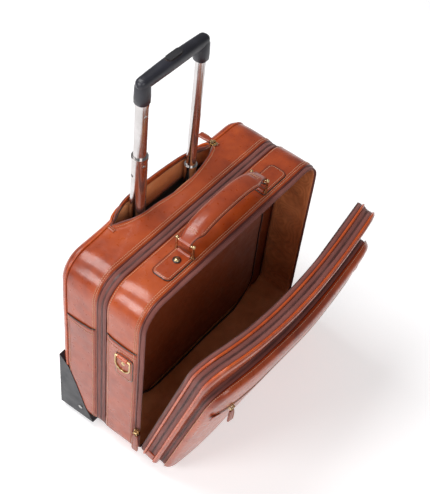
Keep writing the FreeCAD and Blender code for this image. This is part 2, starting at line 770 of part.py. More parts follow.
def d_ring(side):
    """A D-shaped wire: a straight bar, two short sides and a half circle below."""
    x = D_RING_X if side > 0 else f"-({D_RING_X})"
    back = "centre_line + ring_d_half"
    front = "centre_line - ring_d_half"
    low = "ring_d_up - ring_d_side"
    bar = along_y("ring_d_wire", "2 * ring_d_half", x, back, "ring_d_up")
    sides = [make_rod("ring_d_wire", "ring_d_side", x, y, low) for y in (front, back)]
    corners = [ball("ring_d_wire", x, y, "ring_d_up") for y in (front, back)]
    bow = doc.addObject("Part::Torus", "Bow")
    bind(bow, Radius1="ring_d_half", Radius2="ring_d_wire")
    bow.Angle3 = 180
    place(bow, x, "centre_line", low)
    bow.Placement.Rotation = FreeCAD.Rotation(V(0, 1, 0), V(0, 0, -1), V(-1, 0, 0), "ZXY")
    return join(bar, bow, *sides, *corners)


# ---- Flap ---------------------------------------------------------------------------------------

def flap_layer(name, shape, back, depth, inset="0", wall=None):
    return swing(layer(name, shape, depth, inset, wall), back)


def flap_piping():
    """The cords either side of the organiser zip."""
    rings = [flap_layer("Cord", FLAP, back, "cord", "-cord_proud", "cord_wall")
             for back in (FLAP_CORD, SECOND_CORD)]
    return group(*rings)


CROWN_RADIUS = "(((pocket_width / 2) ^ 2 + pocket_crown ^ 2) / (2 * pocket_crown))"
CROWN_AXIS = f"({POCKET_FRONT}) + {CROWN_RADIUS}"


def crown(extra):
    """A large upright cylinder whose front is the pocket's crowned face, moved out by a distance."""
    return make_rod(f"{CROWN_RADIUS} + ({extra})", "pocket_height + 2", "0", CROWN_AXIS, "flap_base - 1")


def overlap(one, other, name="Common"):
    """What two solids share."""
    common = doc.addObject("Part::MultiCommon", name)
    common.Shapes = [one, other]
    return common


def front_pocket():
    """The outer pocket: a leather tray whose face is crowned from side to side."""
    depth = "pocket_edge + pocket_crown"
    outer = overlap(stand(layer("Pocket", POCKET, depth), POCKET_PAN), crown("0"))
    inner = overlap(stand(layer("Room", POCKET, depth, "pocket_wall"), POCKET_PAN), crown("-pocket_wall"))
    return swing(cut(outer, inner))


def pocket_zip_tapes():
    """The zip round the pocket, and the one across its crowned face."""
    around = flap_layer("Tape", POCKET, POCKET_BACK, "pocket_tape", "tape_inset", "tape_thick")
    strip = make_box(("-slit_half", f"{POCKET_FRONT} - 1", "slit_height - slit_tape / 2"),
                     ("slit_half", POCKET_PAN, "slit_height + slit_tape / 2"))
    return group(around, swing(overlap(strip, cut(crown("slit_thick"), crown("0")))))


# ---- Zip sliders and pulls ----------------------------------------------------------------------

PIN_HEIGHT = "slider_gap + slider_thick + eye_gap + pin_radius + eye_wall"
EYE_HALF = 2.4


def slider_solid():
    """A slider on the plane Z = 0: a body, two lugs and the pin that holds the pull along Y."""
    body = make_box(("-slider_long / 2", "-slider_wide / 2", "slider_gap"),
                    ("slider_long / 2", "slider_wide / 2", "slider_gap + slider_thick"))
    lug_top = PIN_HEIGHT + " + pin_radius + 0.6"
    lugs = [make_box(("-2", low, "slider_gap + slider_thick"), ("2", high, lug_top))
            for low, high in (("-slider_wide / 2 + 0.6", "-2.6"), ("2.6", "slider_wide / 2 - 0.6"))]
    pin = along_y("pin_radius", "slider_wide - 2", "0", "slider_wide / 2 - 1", PIN_HEIGHT)
    return join(body, *lugs, pin)


def pull_solid(length):
    """A pull that runs towards -X from an eye round the pin: a link and a leather tongue."""
    eye = along_y("pin_radius + eye_wall", str(2 * EYE_HALF), "0", str(EYE_HALF), PIN_HEIGHT)
    bore = along_y("pin_radius + axle_gap", str(2 * EYE_HALF), "0", str(EYE_HALF), PIN_HEIGHT)
    low = f"{PIN_HEIGHT} - pull_thick / 2"
    link = make_box(("-9", str(-EYE_HALF), low), ("-pin_radius - 0.5", str(EYE_HALF), f"{low} + pull_thick"))
    tongue = make_box((f"-({length})", "-pull_wide / 2", low), ("-8", "pull_wide / 2", f"{low} + pull_thick"))
    return cut(join(eye, link, tongue), bore)


# Which way a slider's own X, Y and Z point: up the left side, up the right side, across the top
LEFT_SIDE = FreeCAD.Rotation(V(0, 0, 1), V(0, 1, 0), V(-1, 0, 0), "ZXY")
RIGHT_SIDE = FreeCAD.Rotation(V(0, 0, 1), V(0, -1, 0), V(1, 0, 0), "ZXY")
OVER_TOP = FreeCAD.Rotation(V(0, -1, 0), V(1, 0, 0), V(0, 0, 1), "ZXY")
FLAP_FACE = FreeCAD.Rotation(V(0, 0, 1), V(-1, 0, 0), V(0, -1, 0), "ZXY")


def fit(thing, x, y, z, turn):
    """Put a slider or a pull on its tape."""
    place(thing, x, y, z)
    thing.Placement = FreeCAD.Placement(thing.Placement.Base, turn)
    return thing


def slider_on_side(side, y, z, half_width, as_one=False):
    """A slider on the upright stretch of a zip, with its pull hanging if they share a node."""
    x = f"{half_width} - tape_inset"
    turn = RIGHT_SIDE if side > 0 else LEFT_SIDE
    solid = group(slider_solid(), pull_solid("main_pull")) if as_one else slider_solid()
    return fit(solid, x if side > 0 else f"-({x})", y, z, turn)


MAIN_SLIDER = (f"({HINGE}) + main_tape / 2 - 0.6", "ground_gap + 60")
TROLLEY_SLIDER = ("well_half - 2", "(well_front + well_back) / 2", CASE_TOP + " + 0.5")
SLIT_SLIDER_RADIUS = f"({CROWN_RADIUS} + slit_thick + slit_lift)"
SLIT_SLIDER_Y = f"{CROWN_AXIS} - sqrt({SLIT_SLIDER_RADIUS} ^ 2 - slit_start ^ 2)"
SLIT_TURN = f"asin((slit_start - slit_travel / 2) / {CROWN_RADIUS})"


def hinge_frame(y, z):
    """Where the open flap carries a point given with the flap closed."""
    turn = "flap_open * 1 deg"
    moved_y = f"({HINGE}) + (({y}) - ({HINGE})) * cos({turn}) - (({z}) - flap_base) * sin({turn})"
    moved_z = f"flap_base + (({y}) - ({HINGE})) * sin({turn}) + (({z}) - flap_base) * cos({turn})"
    return moved_y, moved_z


def flap_turn():
    return FreeCAD.Rotation(X_AXIS, size("flap_open"))


def flap_slider(y, half_width):
    """A slider and its pull, as one piece, on the right side of the flap."""
    piece = group(slider_solid(), pull_solid("main_pull"))
    moved_y, moved_z = hinge_frame(y, "flap_base + 90")
    return fit(piece, f"{half_width} - tape_inset", moved_y, moved_z, flap_turn().multiply(RIGHT_SIDE))


def slit_slider_turn():
    """Square to the crowned face half way along the slider's travel."""
    return flap_turn().multiply(FreeCAD.Rotation(Z_AXIS, -size(SLIT_TURN))).multiply(FLAP_FACE)


def slit_slider():
    moved_y, moved_z = hinge_frame(SLIT_SLIDER_Y, "slit_height")
    return fit(slider_solid(), "-slit_start", moved_y, moved_z, slit_slider_turn())


def slit_pull():
    """The slit zip's pull, which hangs straight down from the overhanging face."""
    pin = size(PIN_HEIGHT)
    base = V(-size("slit_start"), *(size(text) for text in hinge_frame(SLIT_SLIDER_Y, "slit_height")))
    turn = slit_slider_turn()
    pin_place = base + turn.multVec(V(0, 0, pin))
    piece = group(pull_solid("slit_pull"))
    piece_turn = FreeCAD.Rotation(turn.multVec(Y_AXIS), size("flap_open")).multiply(turn)
    offset = pin_place - piece_turn.multVec(V(0, 0, pin))
    piece.Placement = FreeCAD.Placement(offset, piece_turn)
    return piece


# ---- The sub-parts ------------------------------------------------------------------------------

part("rear_gusset", rear_gusset())
part("back_panel", back_panel())
part("rear_piping", cord_ring("Cord", CASE, "0"))
part("rear_zip_tape_back", tape_ring("Tape", CASE, REAR_CORD, "rear_tape"))
part("rear_lining", rear_lining())
part("frame_board", frame_board())
part("trolley_well", trolley_well())
part("trolley_zip_tape", cut(well_slot(), well_slot("well_edge")))
part("trolley_brackets", trolley_brackets())
part("outer_tubes", outer_tubes())
part("rear_side_panels", side_panels("57", "3", "36", "250", "259", HOUSING_SPACE))
part("wheel_axles", wheel_axles())
part("housing_screws", housing_screws())
for side, name in ((-1, "left"), (1, "right")):
    part("wheel_housing_" + name, wheel_housing(side))
    part("wheel_" + name, wheel_hub(side))
    part("tyre_" + name, wheel_tyre(side))
    part("stage1_tube_" + name, first_stage(side))
    part("stage2_tube_" + name, second_stage(side))
    part("handle_ring_" + name, handle_ring(side))
    part("d_ring_" + name, d_ring(side))
part("inner_tubes", inner_tubes())
part("grip", grip())
part("release_button", release_button())
part("release_rods", release_rods())

part("front_gusset", front_gusset())
part("front_piping", front_piping())
part("rear_zip_tape_front", tape_ring("Tape", CASE, ZIP_SPLIT, "rear_tape"))
part("main_zip_tape_case", tape_ring("Tape", CASE, FRONT_FACE, "main_tape"))
part("divider_wall", divider_wall())
part("front_lining", front_lining())
part("laptop_sleeve", laptop_sleeve())
part("front_side_panels", side_panels("-22", "-76", "36", "270", "265"))
part("front_feet", front_feet())
part("handle_tabs", handle_tabs())
part("dring_tabs", dring_tabs())
part("rivets", rivets())
part("carry_handle", carry_handle())

part("main_zip_tape_flap", flap_layer("Tape", FLAP, HINGE, "main_tape", "tape_inset", "tape_thick"))
part("flap_piping", flap_piping())
part("flap_back_panel", flap_layer("Board", FLAP, FLAP_CORD, "cord", "tape_inset + tape_thick"))
part("organiser_zip_tape", flap_layer("Tape", FLAP, ORGANISER, "organiser_tape", "tape_inset", "tape_thick"))
part("flap_front_panel", flap_layer("Board", FLAP, FLAP_BOARD, "board"))
part("pocket_zip_tapes", pocket_zip_tapes())
part("front_pocket", front_pocket())

part("trolley_zip_slider", fit(slider_solid(), *TROLLEY_SLIDER, OVER_TOP))
part("trolley_zip_pull", fit(group(pull_solid("trolley_pull")), *TROLLEY_SLIDER, OVER_TOP))
part("main_zip_slider", slider_on_side(-1, *MAIN_SLIDER, "case_width / 2"))
main_x = "-(case_width / 2 - tape_inset)"
part("main_zip_pull", fit(group(pull_solid("main_pull")), main_x, *MAIN_SLIDER, LEFT_SIDE))
part("rear_zip_slider", slider_on_side(1, ZIP_SPLIT, "ground_gap + 140", "case_width / 2", as_one=True))
part("organiser_zip_slider", flap_slider(f"({ORGANISER}) - organiser_tape / 2", "case_width / 2"))
part("pocket_zip_slider", flap_slider(f"({POCKET_BACK}) - pocket_tape / 2", "pocket_width / 2"))
part("slit_zip_slider", slit_slider())
part("slit_zip_pull", slit_pull())

doc.recompute()

failed = [thing.Name for thing in doc.Objects if {"Invalid", "Error"} & set(thing.State)]
if failed:
    raise RuntimeError("These objects failed: " + ", ".join(failed))
for label, thing in PARTS.items():
    if thing.Shape.isNull() or not thing.Shape.isValid() or not thing.Shape.Solids:
        raise RuntimeError("This sub-part has no valid solid: " + label)

os.makedirs("parts", exist_ok=True)
for label, thing in PARTS.items():
    thing.Shape.exportStep(f"parts/{label}.step")
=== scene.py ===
import json
from math import cos, pi, radians, sin

import bpy
import numpy as np
from mathutils import Matrix, Vector

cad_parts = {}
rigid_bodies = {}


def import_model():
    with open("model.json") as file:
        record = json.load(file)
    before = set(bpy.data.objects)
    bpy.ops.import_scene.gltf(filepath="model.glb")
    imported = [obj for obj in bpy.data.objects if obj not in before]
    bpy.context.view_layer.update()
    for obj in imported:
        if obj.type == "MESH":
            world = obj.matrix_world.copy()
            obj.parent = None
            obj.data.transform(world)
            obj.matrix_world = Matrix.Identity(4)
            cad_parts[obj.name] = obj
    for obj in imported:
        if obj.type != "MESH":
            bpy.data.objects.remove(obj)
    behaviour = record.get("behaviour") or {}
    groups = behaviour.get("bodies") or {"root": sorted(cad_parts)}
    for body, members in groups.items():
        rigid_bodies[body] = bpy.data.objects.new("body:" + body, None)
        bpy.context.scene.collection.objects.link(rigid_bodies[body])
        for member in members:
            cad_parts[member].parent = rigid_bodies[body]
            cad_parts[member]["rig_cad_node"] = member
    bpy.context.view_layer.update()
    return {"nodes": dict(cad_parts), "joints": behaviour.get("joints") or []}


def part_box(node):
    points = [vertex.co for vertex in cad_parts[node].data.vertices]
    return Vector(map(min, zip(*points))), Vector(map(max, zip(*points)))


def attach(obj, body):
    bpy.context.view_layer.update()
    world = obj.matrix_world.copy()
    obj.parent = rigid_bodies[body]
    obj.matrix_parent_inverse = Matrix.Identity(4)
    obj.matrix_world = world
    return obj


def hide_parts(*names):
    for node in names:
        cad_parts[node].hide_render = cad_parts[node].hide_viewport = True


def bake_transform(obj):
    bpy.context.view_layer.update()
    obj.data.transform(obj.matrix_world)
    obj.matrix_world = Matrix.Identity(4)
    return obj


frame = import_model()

# Looks of a rolling laptop case. Lengths are in millimetres until a mesh is made.
# +X right, +Y back (the trolley side), +Z up. The flap is drawn closed and then swung open.
MM = 0.001
UP = (0, 0, 1)
SIDES = ((-1, "left"), (1, "right"))
REAR, FRONT = "rear_section", "front_section"


def cad(node):
    """A CAD node's lowest and highest corners, in millimetres."""
    low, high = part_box(node)
    return np.array(low) / MM, np.array(high) / MM


def joint(name):
    return next(j for j in frame["joints"] if j["name"] == name)


def xyz(x, y, z):
    """Points from three coordinates, any of which may be one number for all."""
    return np.stack(np.broadcast_arrays(x, y, z), -1).astype(float)


def unit(rows):
    """Directions brought to length one."""
    return rows / np.maximum(np.linalg.norm(rows, axis=-1, keepdims=True), 1e-9)


# ---- Places taken from the frame ----

CASE_LOW, CASE_HIGH = cad("front_gusset")
HALF = CASE_HIGH[0]
FOOT, TOP = CASE_LOW[2], CASE_HIGH[2]
FRONT_EDGE, FRONT_BACK = CASE_LOW[1], CASE_HIGH[1]
BACK = cad("back_panel")[1][1]
REAR_FRONT = cad("rear_gusset")[0][1]
ZIP_SPLIT = cad("rear_zip_tape_back")[0][1]
FRONT_FACE = cad("main_zip_tape_case")[1][1]
HINGE = np.array(joint("flap_hinge")["pos_m"]) / MM
OPEN = radians(-joint("flap_hinge")["range_deg"][0])
CENTRE = (cad("handle_tabs")[0][1] + cad("handle_tabs")[1][1]) / 2
FLAP_HEIGHT = 338.0
POCKET_HEIGHT = 284.0
POCKET_HALF = cad("front_pocket")[1][0]
TAB_FOLD = (87.0, 371.0)
TAB_RIVET = 104.0
HANDLE_LOOP = 392.5
D_RING_BAR, D_RING_RIVET = 250.4, 236.5


# ---- Outlines ----

class Outline:
    """A rectangle with round corners, walked from the middle of its foot, up the right side and round."""

    def __init__(self, half, low, high, top=42.0, foot=15.0):
        self.half, self.low, self.high, self.top, self.foot = half, low, high, top, foot
        quarter = pi / 2
        rise = high - low - top - foot
        steps = [
            ("line", half - foot, (0, low), (1, 0), (0, -1)),
            ("arc", foot * quarter, (half - foot, low + foot), foot, -quarter),
            ("line", rise, (half, low + foot), (0, 1), (1, 0)),
            ("arc", top * quarter, (half - top, high - top), top, 0),
            ("line", 2 * (half - top), (half - top, high), (-1, 0), (0, 1)),
            ("arc", top * quarter, (top - half, high - top), top, quarter),
            ("line", rise, (-half, high - top), (0, -1), (-1, 0)),
            ("arc", foot * quarter, (foot - half, low + foot), foot, 2 * quarter),
            ("line", half - foot, (foot - half, low), (1, 0), (0, -1)),
        ]
        self.steps, self.length = [], 0.0
        for step in steps:
            self.steps.append((self.length, step))
            self.length += step[1]

    def at(self, s):
        """Places and outward normals, as x, z, nx, nz, at lengths s along the outline."""
        s = np.mod(np.asarray(s, float), self.length)
        out = np.zeros(s.shape + (4,))
        for start, (kind, length, origin, how, more) in self.steps:
            here = (s >= start - 1e-9) & (s <= start + length + 1e-9)
            t = s[here] - start
            if kind == "line":
                values = (origin[0] + how[0] * t, origin[1] + how[1] * t, more[0], more[1])
            else:
                across, up = np.cos(more + t / how), np.sin(more + t / how)
                values = (origin[0] + how * across, origin[1] + how * up, across, up)
            out[here] = np.stack(np.broadcast_arrays(*values), -1)
        return out

    def inset(self, d):
        top, foot = max(self.top - d, 2), max(self.foot - d, 2)
        return Outline(self.half - d, self.low + d, self.high - d, top, foot)

    def side_length(self, z):
        """The length along the outline at which the right side reaches the height z."""
        return self.steps[2][0] + z - self.low - self.foot

    def around(self, step):
        """Lengths round the whole outline."""
        return np.linspace(0, self.length, int(self.length / step), endpoint=False)


CASE = Outline(HALF, FOOT, TOP)
FLAP = Outline(HALF, HINGE[2], HINGE[2] + FLAP_HEIGHT)
POCKET = Outline(POCKET_HALF, HINGE[2], HINGE[2] + POCKET_HEIGHT)


def on(outline, s, y, out):
    """Points at lengths s, depth y and distance out from an outline; the three arrays broadcast."""
    s, y, out = np.broadcast_arrays(s, y, out)
    x, z, nx, nz = np.moveaxis(outline.at(s), -1, 0)
    return xyz(x + nx * out, y, z + nz * out)


def outward(outline, s):
    """Outward directions at lengths s along an outline."""
    spot = outline.at(s)
    return xyz(spot[:, 2], 0, spot[:, 3])


def waves(a, b, size, seed):
    """A smooth, repeatable unevenness, from about -1 to 1, over two lengths in millimetres."""
    total = np.zeros(np.broadcast(a, b).shape)
    for i in range(4):
        turn = seed * 1.7 + i * 2.4
        long = size * (1 + 0.37 * i)
        total += np.sin(6.28 * (a * cos(turn) + b * sin(turn)) / long + seed * 3.1 + i * 1.3)
    return total / 3.0


def curve(x, places, values):
    """A line through a few points, eased at each of them."""
    return sum(np.interp(x + shift, places, values) for shift in (-8, -4, 0, 4, 8)) / 5


def opened(direction):
    """A direction on the closed flap as the open flap carries it."""
    x, y, z = np.moveaxis(np.asarray(direction, float), -1, 0)
    return xyz(x, y * cos(OPEN) - z * sin(OPEN), y * sin(OPEN) + z * cos(OPEN))


def bow(points):
    """The flap's own sag: its middle stands forward and hangs a little, most at the top."""
    x, y, z = np.moveaxis(points, -1, 0)
    share = np.clip((z - HINGE[2]) / FLAP_HEIGHT, 0, 1)
    sag = np.sin(pi * np.clip((x + HALF) / (2 * HALF), 0, 1) ** 0.8) * share ** 3
    forward = 8.0 * (1 - (x / HALF) ** 2) * np.sin(share * pi * 0.62) + 14.0 * sag
    return xyz(x, y - forward, z - 11.0 * sag)


def flap_place(points):
    """Points on the flat, closed flap as the open flap carries them."""
    return HINGE + opened(bow(points) - HINGE)


def as_drawn(points):
    return points


# ---- Mesh building ----

def quads(rows, columns, wrap_rows=False, wrap_columns=False):
    """Faces of a grid of points."""
    r = np.arange(rows if wrap_rows else rows - 1)
    c = np.arange(columns if wrap_columns else columns - 1)
    r, c = (a.ravel() for a in np.meshgrid(r, c, indexing="ij"))
    down, across = (r + 1) % rows, (c + 1) % columns
    return np.stack([r * columns + c, down * columns + c, down * columns + across, r * columns + across], -1)


class Shape:
    """Vertices and faces that grow piece by piece and become one object."""

    def __init__(self):
        self.points, self.faces, self.count = [], [], 0

    def add(self, points, faces):
        self.points.append(np.asarray(points, float).reshape(-1, 3))
        self.faces.append(np.asarray(faces, int) + self.count)
        self.count += len(self.points[-1])
        return self

    def cap(self, rim, turned=False):
        """Closes a rim with a fan of triangles round its middle."""
        count = len(rim)
        fan = np.array([(i, (i + 1) % count, count) for i in range(count)])
        return self.add(np.vstack([rim, rim.mean(0)]), fan[:, ::-1] if turned else fan)

    def sheet(self, points, thick, wrap=False):
        """A grid as a closed sheet with its outer face on the points and its thickness behind them."""
        rows, columns = points.shape[:2]
        along = np.roll(points, -1, 0) - np.roll(points, 1, 0) if wrap else np.gradient(points, axis=0)
        inner = points - unit(np.cross(along, np.gradient(points, axis=1))) * thick
        faces = [quads(rows, 2 * columns, wrap, True)]
        for row, turn in () if wrap else ((0, 1), (rows - 1, -1)):
            c = np.arange(columns - 1)
            end = [c, c + 1, 2 * columns - 2 - c, 2 * columns - 1 - c]
            faces.append((np.stack(end, -1) + row * 2 * columns)[:, ::turn])
        return self.add(np.concatenate([points, inner[:, ::-1]], 1), np.concatenate(faces))

    def rod(self, path, radius, closed=False, sides=8, up=UP, flat=1.0):
        """A round cord along a path; flat below 1 squeezes it along its second direction."""
        path = np.asarray(path, float)
        tangent = unit(np.roll(path, -1, 0) - np.roll(path, 1, 0) if closed else np.gradient(path, axis=0))
        first = unit(np.cross(tangent, up))
        second = np.cross(tangent, first) * flat
        angle = np.arange(sides)[:, None] * 2 * pi / sides
        ring = path[:, None] + radius * (np.cos(angle) * first[:, None] + np.sin(angle) * second[:, None])
        self.add(ring, quads(len(path), sides, closed, True))
        return self if closed else self.cap(ring[0], True).cap(ring[-1])

    def strap(self, path, width, thick, normal):
        """A flat strap with soft edges along a path."""
        along = unit(np.gradient(path, axis=0))
        side = unit(np.cross(along, normal))
        out = np.cross(side, along) * thick / 2
        side = side * np.broadcast_to(width, len(path))[:, None] / 2
        section = [(-1, -0.6), (-0.93, -1), (0.93, -1), (1, -0.6), (1, 0.6), (0.9, 1), (-0.9, 1), (-1, 0.6)]
        ring = np.stack([path + side * a + out * b for a, b in section], 1)
        return self.add(ring, quads(len(path), len(section), False, True)).cap(ring[0]).cap(ring[-1], True)

    def loft(self, path, up, wide, tall):
        """A closed bar along a path in the XZ plane, with a soft rectangular section of changing size."""
        turn = np.arange(32) * 2 * pi / 32
        across, lift = (np.sign(a) * np.abs(a) ** 0.8 for a in (np.cos(turn), np.sin(turn)))
        ring = path[:, None] + np.broadcast_to(up, path.shape)[:, None] * (tall[:, None] * lift)[..., None]
        ring[..., 1] += wide[:, None] * across
        self.add(ring, quads(len(path), 32, False, True)[:, ::-1])
        return self.cap(ring[0]).cap(ring[-1], True)

    def lathe(self, centre, axis, profile, sides=20):
        """A turned piece: its profile gives radius and height along an axis."""
        axis = np.asarray(axis, float)
        first = unit(np.cross(axis, (0.3, 0.5, 0.8)))
        angle = np.arange(sides)[:, None] * 2 * pi / sides
        around = np.cos(angle) * first + np.sin(angle) * np.cross(axis, first)
        ring = np.stack([np.asarray(centre) + around * r + axis * h for r, h in profile], 1)
        self.add(ring, quads(sides, len(profile), True)[:, ::-1])
        return self.cap(ring[:, 0], True).cap(ring[:, -1])

    def sew(self, path, normal, pitch=3.4, length=2.6, width=0.5, lift=0.3):
        """A row of stitches: short rounded beads laid along a path."""
        gaps = np.linalg.norm(np.diff(path, axis=0), axis=1)
        total = np.concatenate([[0], np.cumsum(gaps)])
        middles = np.arange(pitch / 2, total[-1], pitch)

        def read(values, shift=0.0):
            values = np.broadcast_to(values, path.shape)
            return np.stack([np.interp(middles + shift, total, column) for column in values.T], -1)

        out = read(normal)
        along = unit(read(path, 0.5) - read(path, -0.5))
        side, tall = np.cross(along, out) * width, out * width * 0.8
        centre = read(path) + out * lift
        beads = [centre - along * length / 2]
        for share in (-0.3, 0.3):
            beads += [centre + along * length * share + edge for edge in (side, tall, -side, -tall)]
        beads.append(centre + along * length / 2)
        faces = []
        for i, j in ((0, 1), (1, 2), (2, 3), (3, 0)):
            faces += [(0, 1 + j, 1 + i), (9, 5 + i, 5 + j), (1 + i, 1 + j, 5 + j), (1 + i, 5 + j, 5 + i)]
        faces = np.arange(len(middles))[:, None, None] * 10 + np.array(faces)
        return self.add(np.stack(beads, 1), faces.reshape(-1, 3))

    def bricks(self, centre, along, side, out, size):
        """Small blocks, such as zip teeth, at many places at once."""
        half = np.asarray(size) / 2
        corners = np.array([(a, b, c) for a in (-1, 1) for b in (-1, 1) for c in (-1, 1)]) * half
        block = centre[:, None] + sum(corners[:, i, None] * np.broadcast_to(way, centre.shape)[:, None]
                                      for i, way in enumerate((along, side, out)))
        faces = np.array([[0, 1, 3, 2], [4, 6, 7, 5], [0, 4, 5, 1], [2, 3, 7, 6], [0, 2, 6, 4], [1, 5, 7, 3]])
        return self.add(block, (np.arange(len(centre))[:, None, None] * 8 + faces).reshape(-1, 4))

    def build(self, name, body, look, *replaces, smooth=True, bend=None):
        """Makes the object, on its body or, when bend is given, baked in place on no body, in place of any
        CAD nodes named.
        """
        mesh = bpy.data.meshes.new(name)
        faces = [face.tolist() for block in self.faces for face in block]
        mesh.from_pydata((np.concatenate(self.points) * MM).tolist(), [], faces)
        mesh.update()
        mesh.polygons.foreach_set("use_smooth", [smooth] * len(mesh.polygons))
        mesh.materials.append(look)
        thing = bpy.data.objects.new(name, mesh)
        bpy.context.scene.collection.objects.link(thing)
        if bend:
            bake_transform(thing)
        else:
            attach(thing, body)
        if replaces:
            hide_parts(*replaces)
        return thing


def thicken(thing, thick, offset=-1.0):
    """Gives a skin its thickness, behind its outer face or to both sides, and welds what meets."""
    weld = thing.modifiers.new("Weld", "WELD")
    weld.merge_threshold = 0.00002
    solid = thing.modifiers.new("Thickness", "SOLIDIFY")
    solid.thickness = thick * MM
    solid.offset = offset


def skin(name, body, look, replaces, points, thick, offset=-1.0):
    """A face made of rings that close in on its middle."""
    shape = Shape().add(points, quads(*points.shape[:2], True)).cap(points[:, -1])
    thicken(shape.build(name, body, look, replaces), thick, offset)


# ---- Materials ----

class Paint:
    """A node-based material. Every texture in it is worked out from the place on the object."""

    def __init__(self, name, slot):
        self.made = bpy.data.materials.new("look_" + name)
        self.made.use_nodes = True
        self.made["slot"] = slot
        self.tree = self.made.node_tree
        self.place = self.tree.nodes.new("ShaderNodeTexCoord").outputs["Object"]

    def fill(self, node, inputs):
        """Sets a node's inputs, each to a plain value or to another node's output."""
        for key, value in inputs.items():
            socket = node.inputs[key.replace("_", " ")]
            if isinstance(value, bpy.types.NodeSocket):
                self.tree.links.new(value, socket)
            else:
                socket.default_value = value
        return node

    def node(self, kind, **inputs):
        return self.fill(self.tree.nodes.new("ShaderNode" + kind), inputs)

    def finish(self, **inputs):
        self.fill(self.tree.nodes["Principled BSDF"], inputs)
        return self.made

    def noise(self, scale, detail, size=None):
        """Cloudy noise, with scale waves in a metre; size stretches each axis on its own."""
        place = self.node("Mapping", Scale=size, Vector=self.place).outputs["Vector"] if size else self.place
        return self.node("TexNoise", Scale=scale, Detail=detail, Vector=place).outputs["Fac"]

    def bands(self, scale, direction, warp=0.4):
        node = self.node("TexWave", Scale=scale, Distortion=warp, Vector=self.place)
        node.bands_direction = direction
        return node.outputs["Fac"]

    def mix(self, one, other, share):
        return self.node("Mix", Factor=share, A=one, B=other).outputs["Result"]

    def ramp(self, source, *stops):
        """A colour ramp; each stop is a place from 0 to 1 and a colour, or a single grey value."""
        node = self.node("ValToRGB", Fac=source)
        elements = node.color_ramp.elements
        while len(elements) < len(stops):
            elements.new(0.5)
        for element, (place, colour) in zip(elements, stops):
            element.position = place
            element.color = (*colour, 1) if isinstance(colour, tuple) else (colour, colour, colour, 1)
        return node.outputs["Color"]

    def bump(self, height, depth, **under):
        """A bump of a height in metres, on top of another one if there is one."""
        return self.node("Bump", Distance=depth, Strength=1.0, Height=height, **under).outputs["Normal"]


def leather(name, dark, middle, light, slot="leather", gloss=0.30):
    """Glazed hide: uneven dye, a fine pebble, soft creases and a clear finish."""
    paint = Paint(name, slot)
    dye = paint.mix(paint.noise(9, 5), paint.noise(55, 3), 0.35)
    creases = paint.bump(paint.noise(34, 3), 0.0011)
    return paint.finish(
        Base_Color=paint.ramp(dye, (0.30, dark), (0.50, middle), (0.70, light)),
        Roughness=paint.ramp(paint.noise(120, 3), (0.3, gloss - 0.05), (0.7, gloss + 0.12)),
        Normal=paint.bump(paint.noise(430, 2), 0.00007, Normal=creases),
        Coat_Weight=0.4, Coat_Roughness=0.16, Specular_IOR_Level=0.45)


def cloth(name, dark, light, slot, scale, rough=0.85, sheen=0.25, crumple=0.0014):
    """Woven cloth: two crossing sets of threads, with faint blotches."""
    paint = Paint(name, slot)
    weave = paint.mix(paint.bands(scale, "DIAGONAL"), paint.bands(scale * 0.9, "X", 0.8), 0.5)
    soft = paint.bump(paint.noise(24, 2), crumple)
    return paint.finish(
        Base_Color=paint.ramp(paint.mix(paint.noise(16, 4), weave, 0.3), (0.32, dark), (0.68, light)),
        Roughness=paint.ramp(paint.noise(90, 2), (0.3, rough - 0.1), (0.7, rough + 0.05)),
        Normal=paint.bump(weave, 0.00012, Normal=soft),
        Sheen_Weight=sheen, Sheen_Roughness=0.4, Specular_IOR_Level=0.3)


def plastic(name, dark, light, slot, rough=0.42, grain=900, depth=0.00006):
    """Moulded plastic or rubber with a fine spark-eroded grain."""
    paint = Paint(name, slot)
    return paint.finish(
        Base_Color=paint.ramp(paint.noise(30, 5), (0.35, dark), (0.65, light)),
        Roughness=paint.ramp(paint.noise(70, 3), (0.3, rough - 0.07), (0.7, rough + 0.1)),
        Normal=paint.bump(paint.noise(grain, 3), depth))


def metal(name, dark, light, slot, rough, stretch=(1, 1, 1), scratch=300):
    """Metal with a drawn or tumbled finish and a little tarnish."""
    paint = Paint(name, slot)
    lines = paint.noise(scratch, 3, stretch)
    return paint.finish(
        Base_Color=paint.ramp(paint.noise(60, 4), (0.3, dark), (0.7, light)),
        Roughness=paint.ramp(lines, (0.3, max(rough - 0.06, 0.03)), (0.7, rough + 0.08)),
        Normal=paint.bump(lines, 0.00002), Metallic=1.0)


LEATHER = leather("leather", (0.19, 0.022, 0.004), (0.36, 0.050, 0.007), (0.48, 0.082, 0.012))
TRIM = leather("trim", (0.17, 0.020, 0.004), (0.32, 0.043, 0.007), (0.43, 0.068, 0.012), "leather_trim")
PIPING = leather("piping", (0.32, 0.038, 0.005), (0.48, 0.072, 0.009), (0.58, 0.105, 0.016), "piping", 0.26)
PULL = leather("pull", (0.15, 0.020, 0.007), (0.25, 0.036, 0.012), (0.34, 0.056, 0.018), "pull")
# Seam cords: a near-black copy of the piping leather, painted shade standing in for the shadowed gap between
# leather and tape.
SEAM_SHADE = leather("seam", (0.070, 0.008, 0.004), (0.110, 0.013, 0.006), (0.150, 0.020, 0.009), "piping", 0.4)
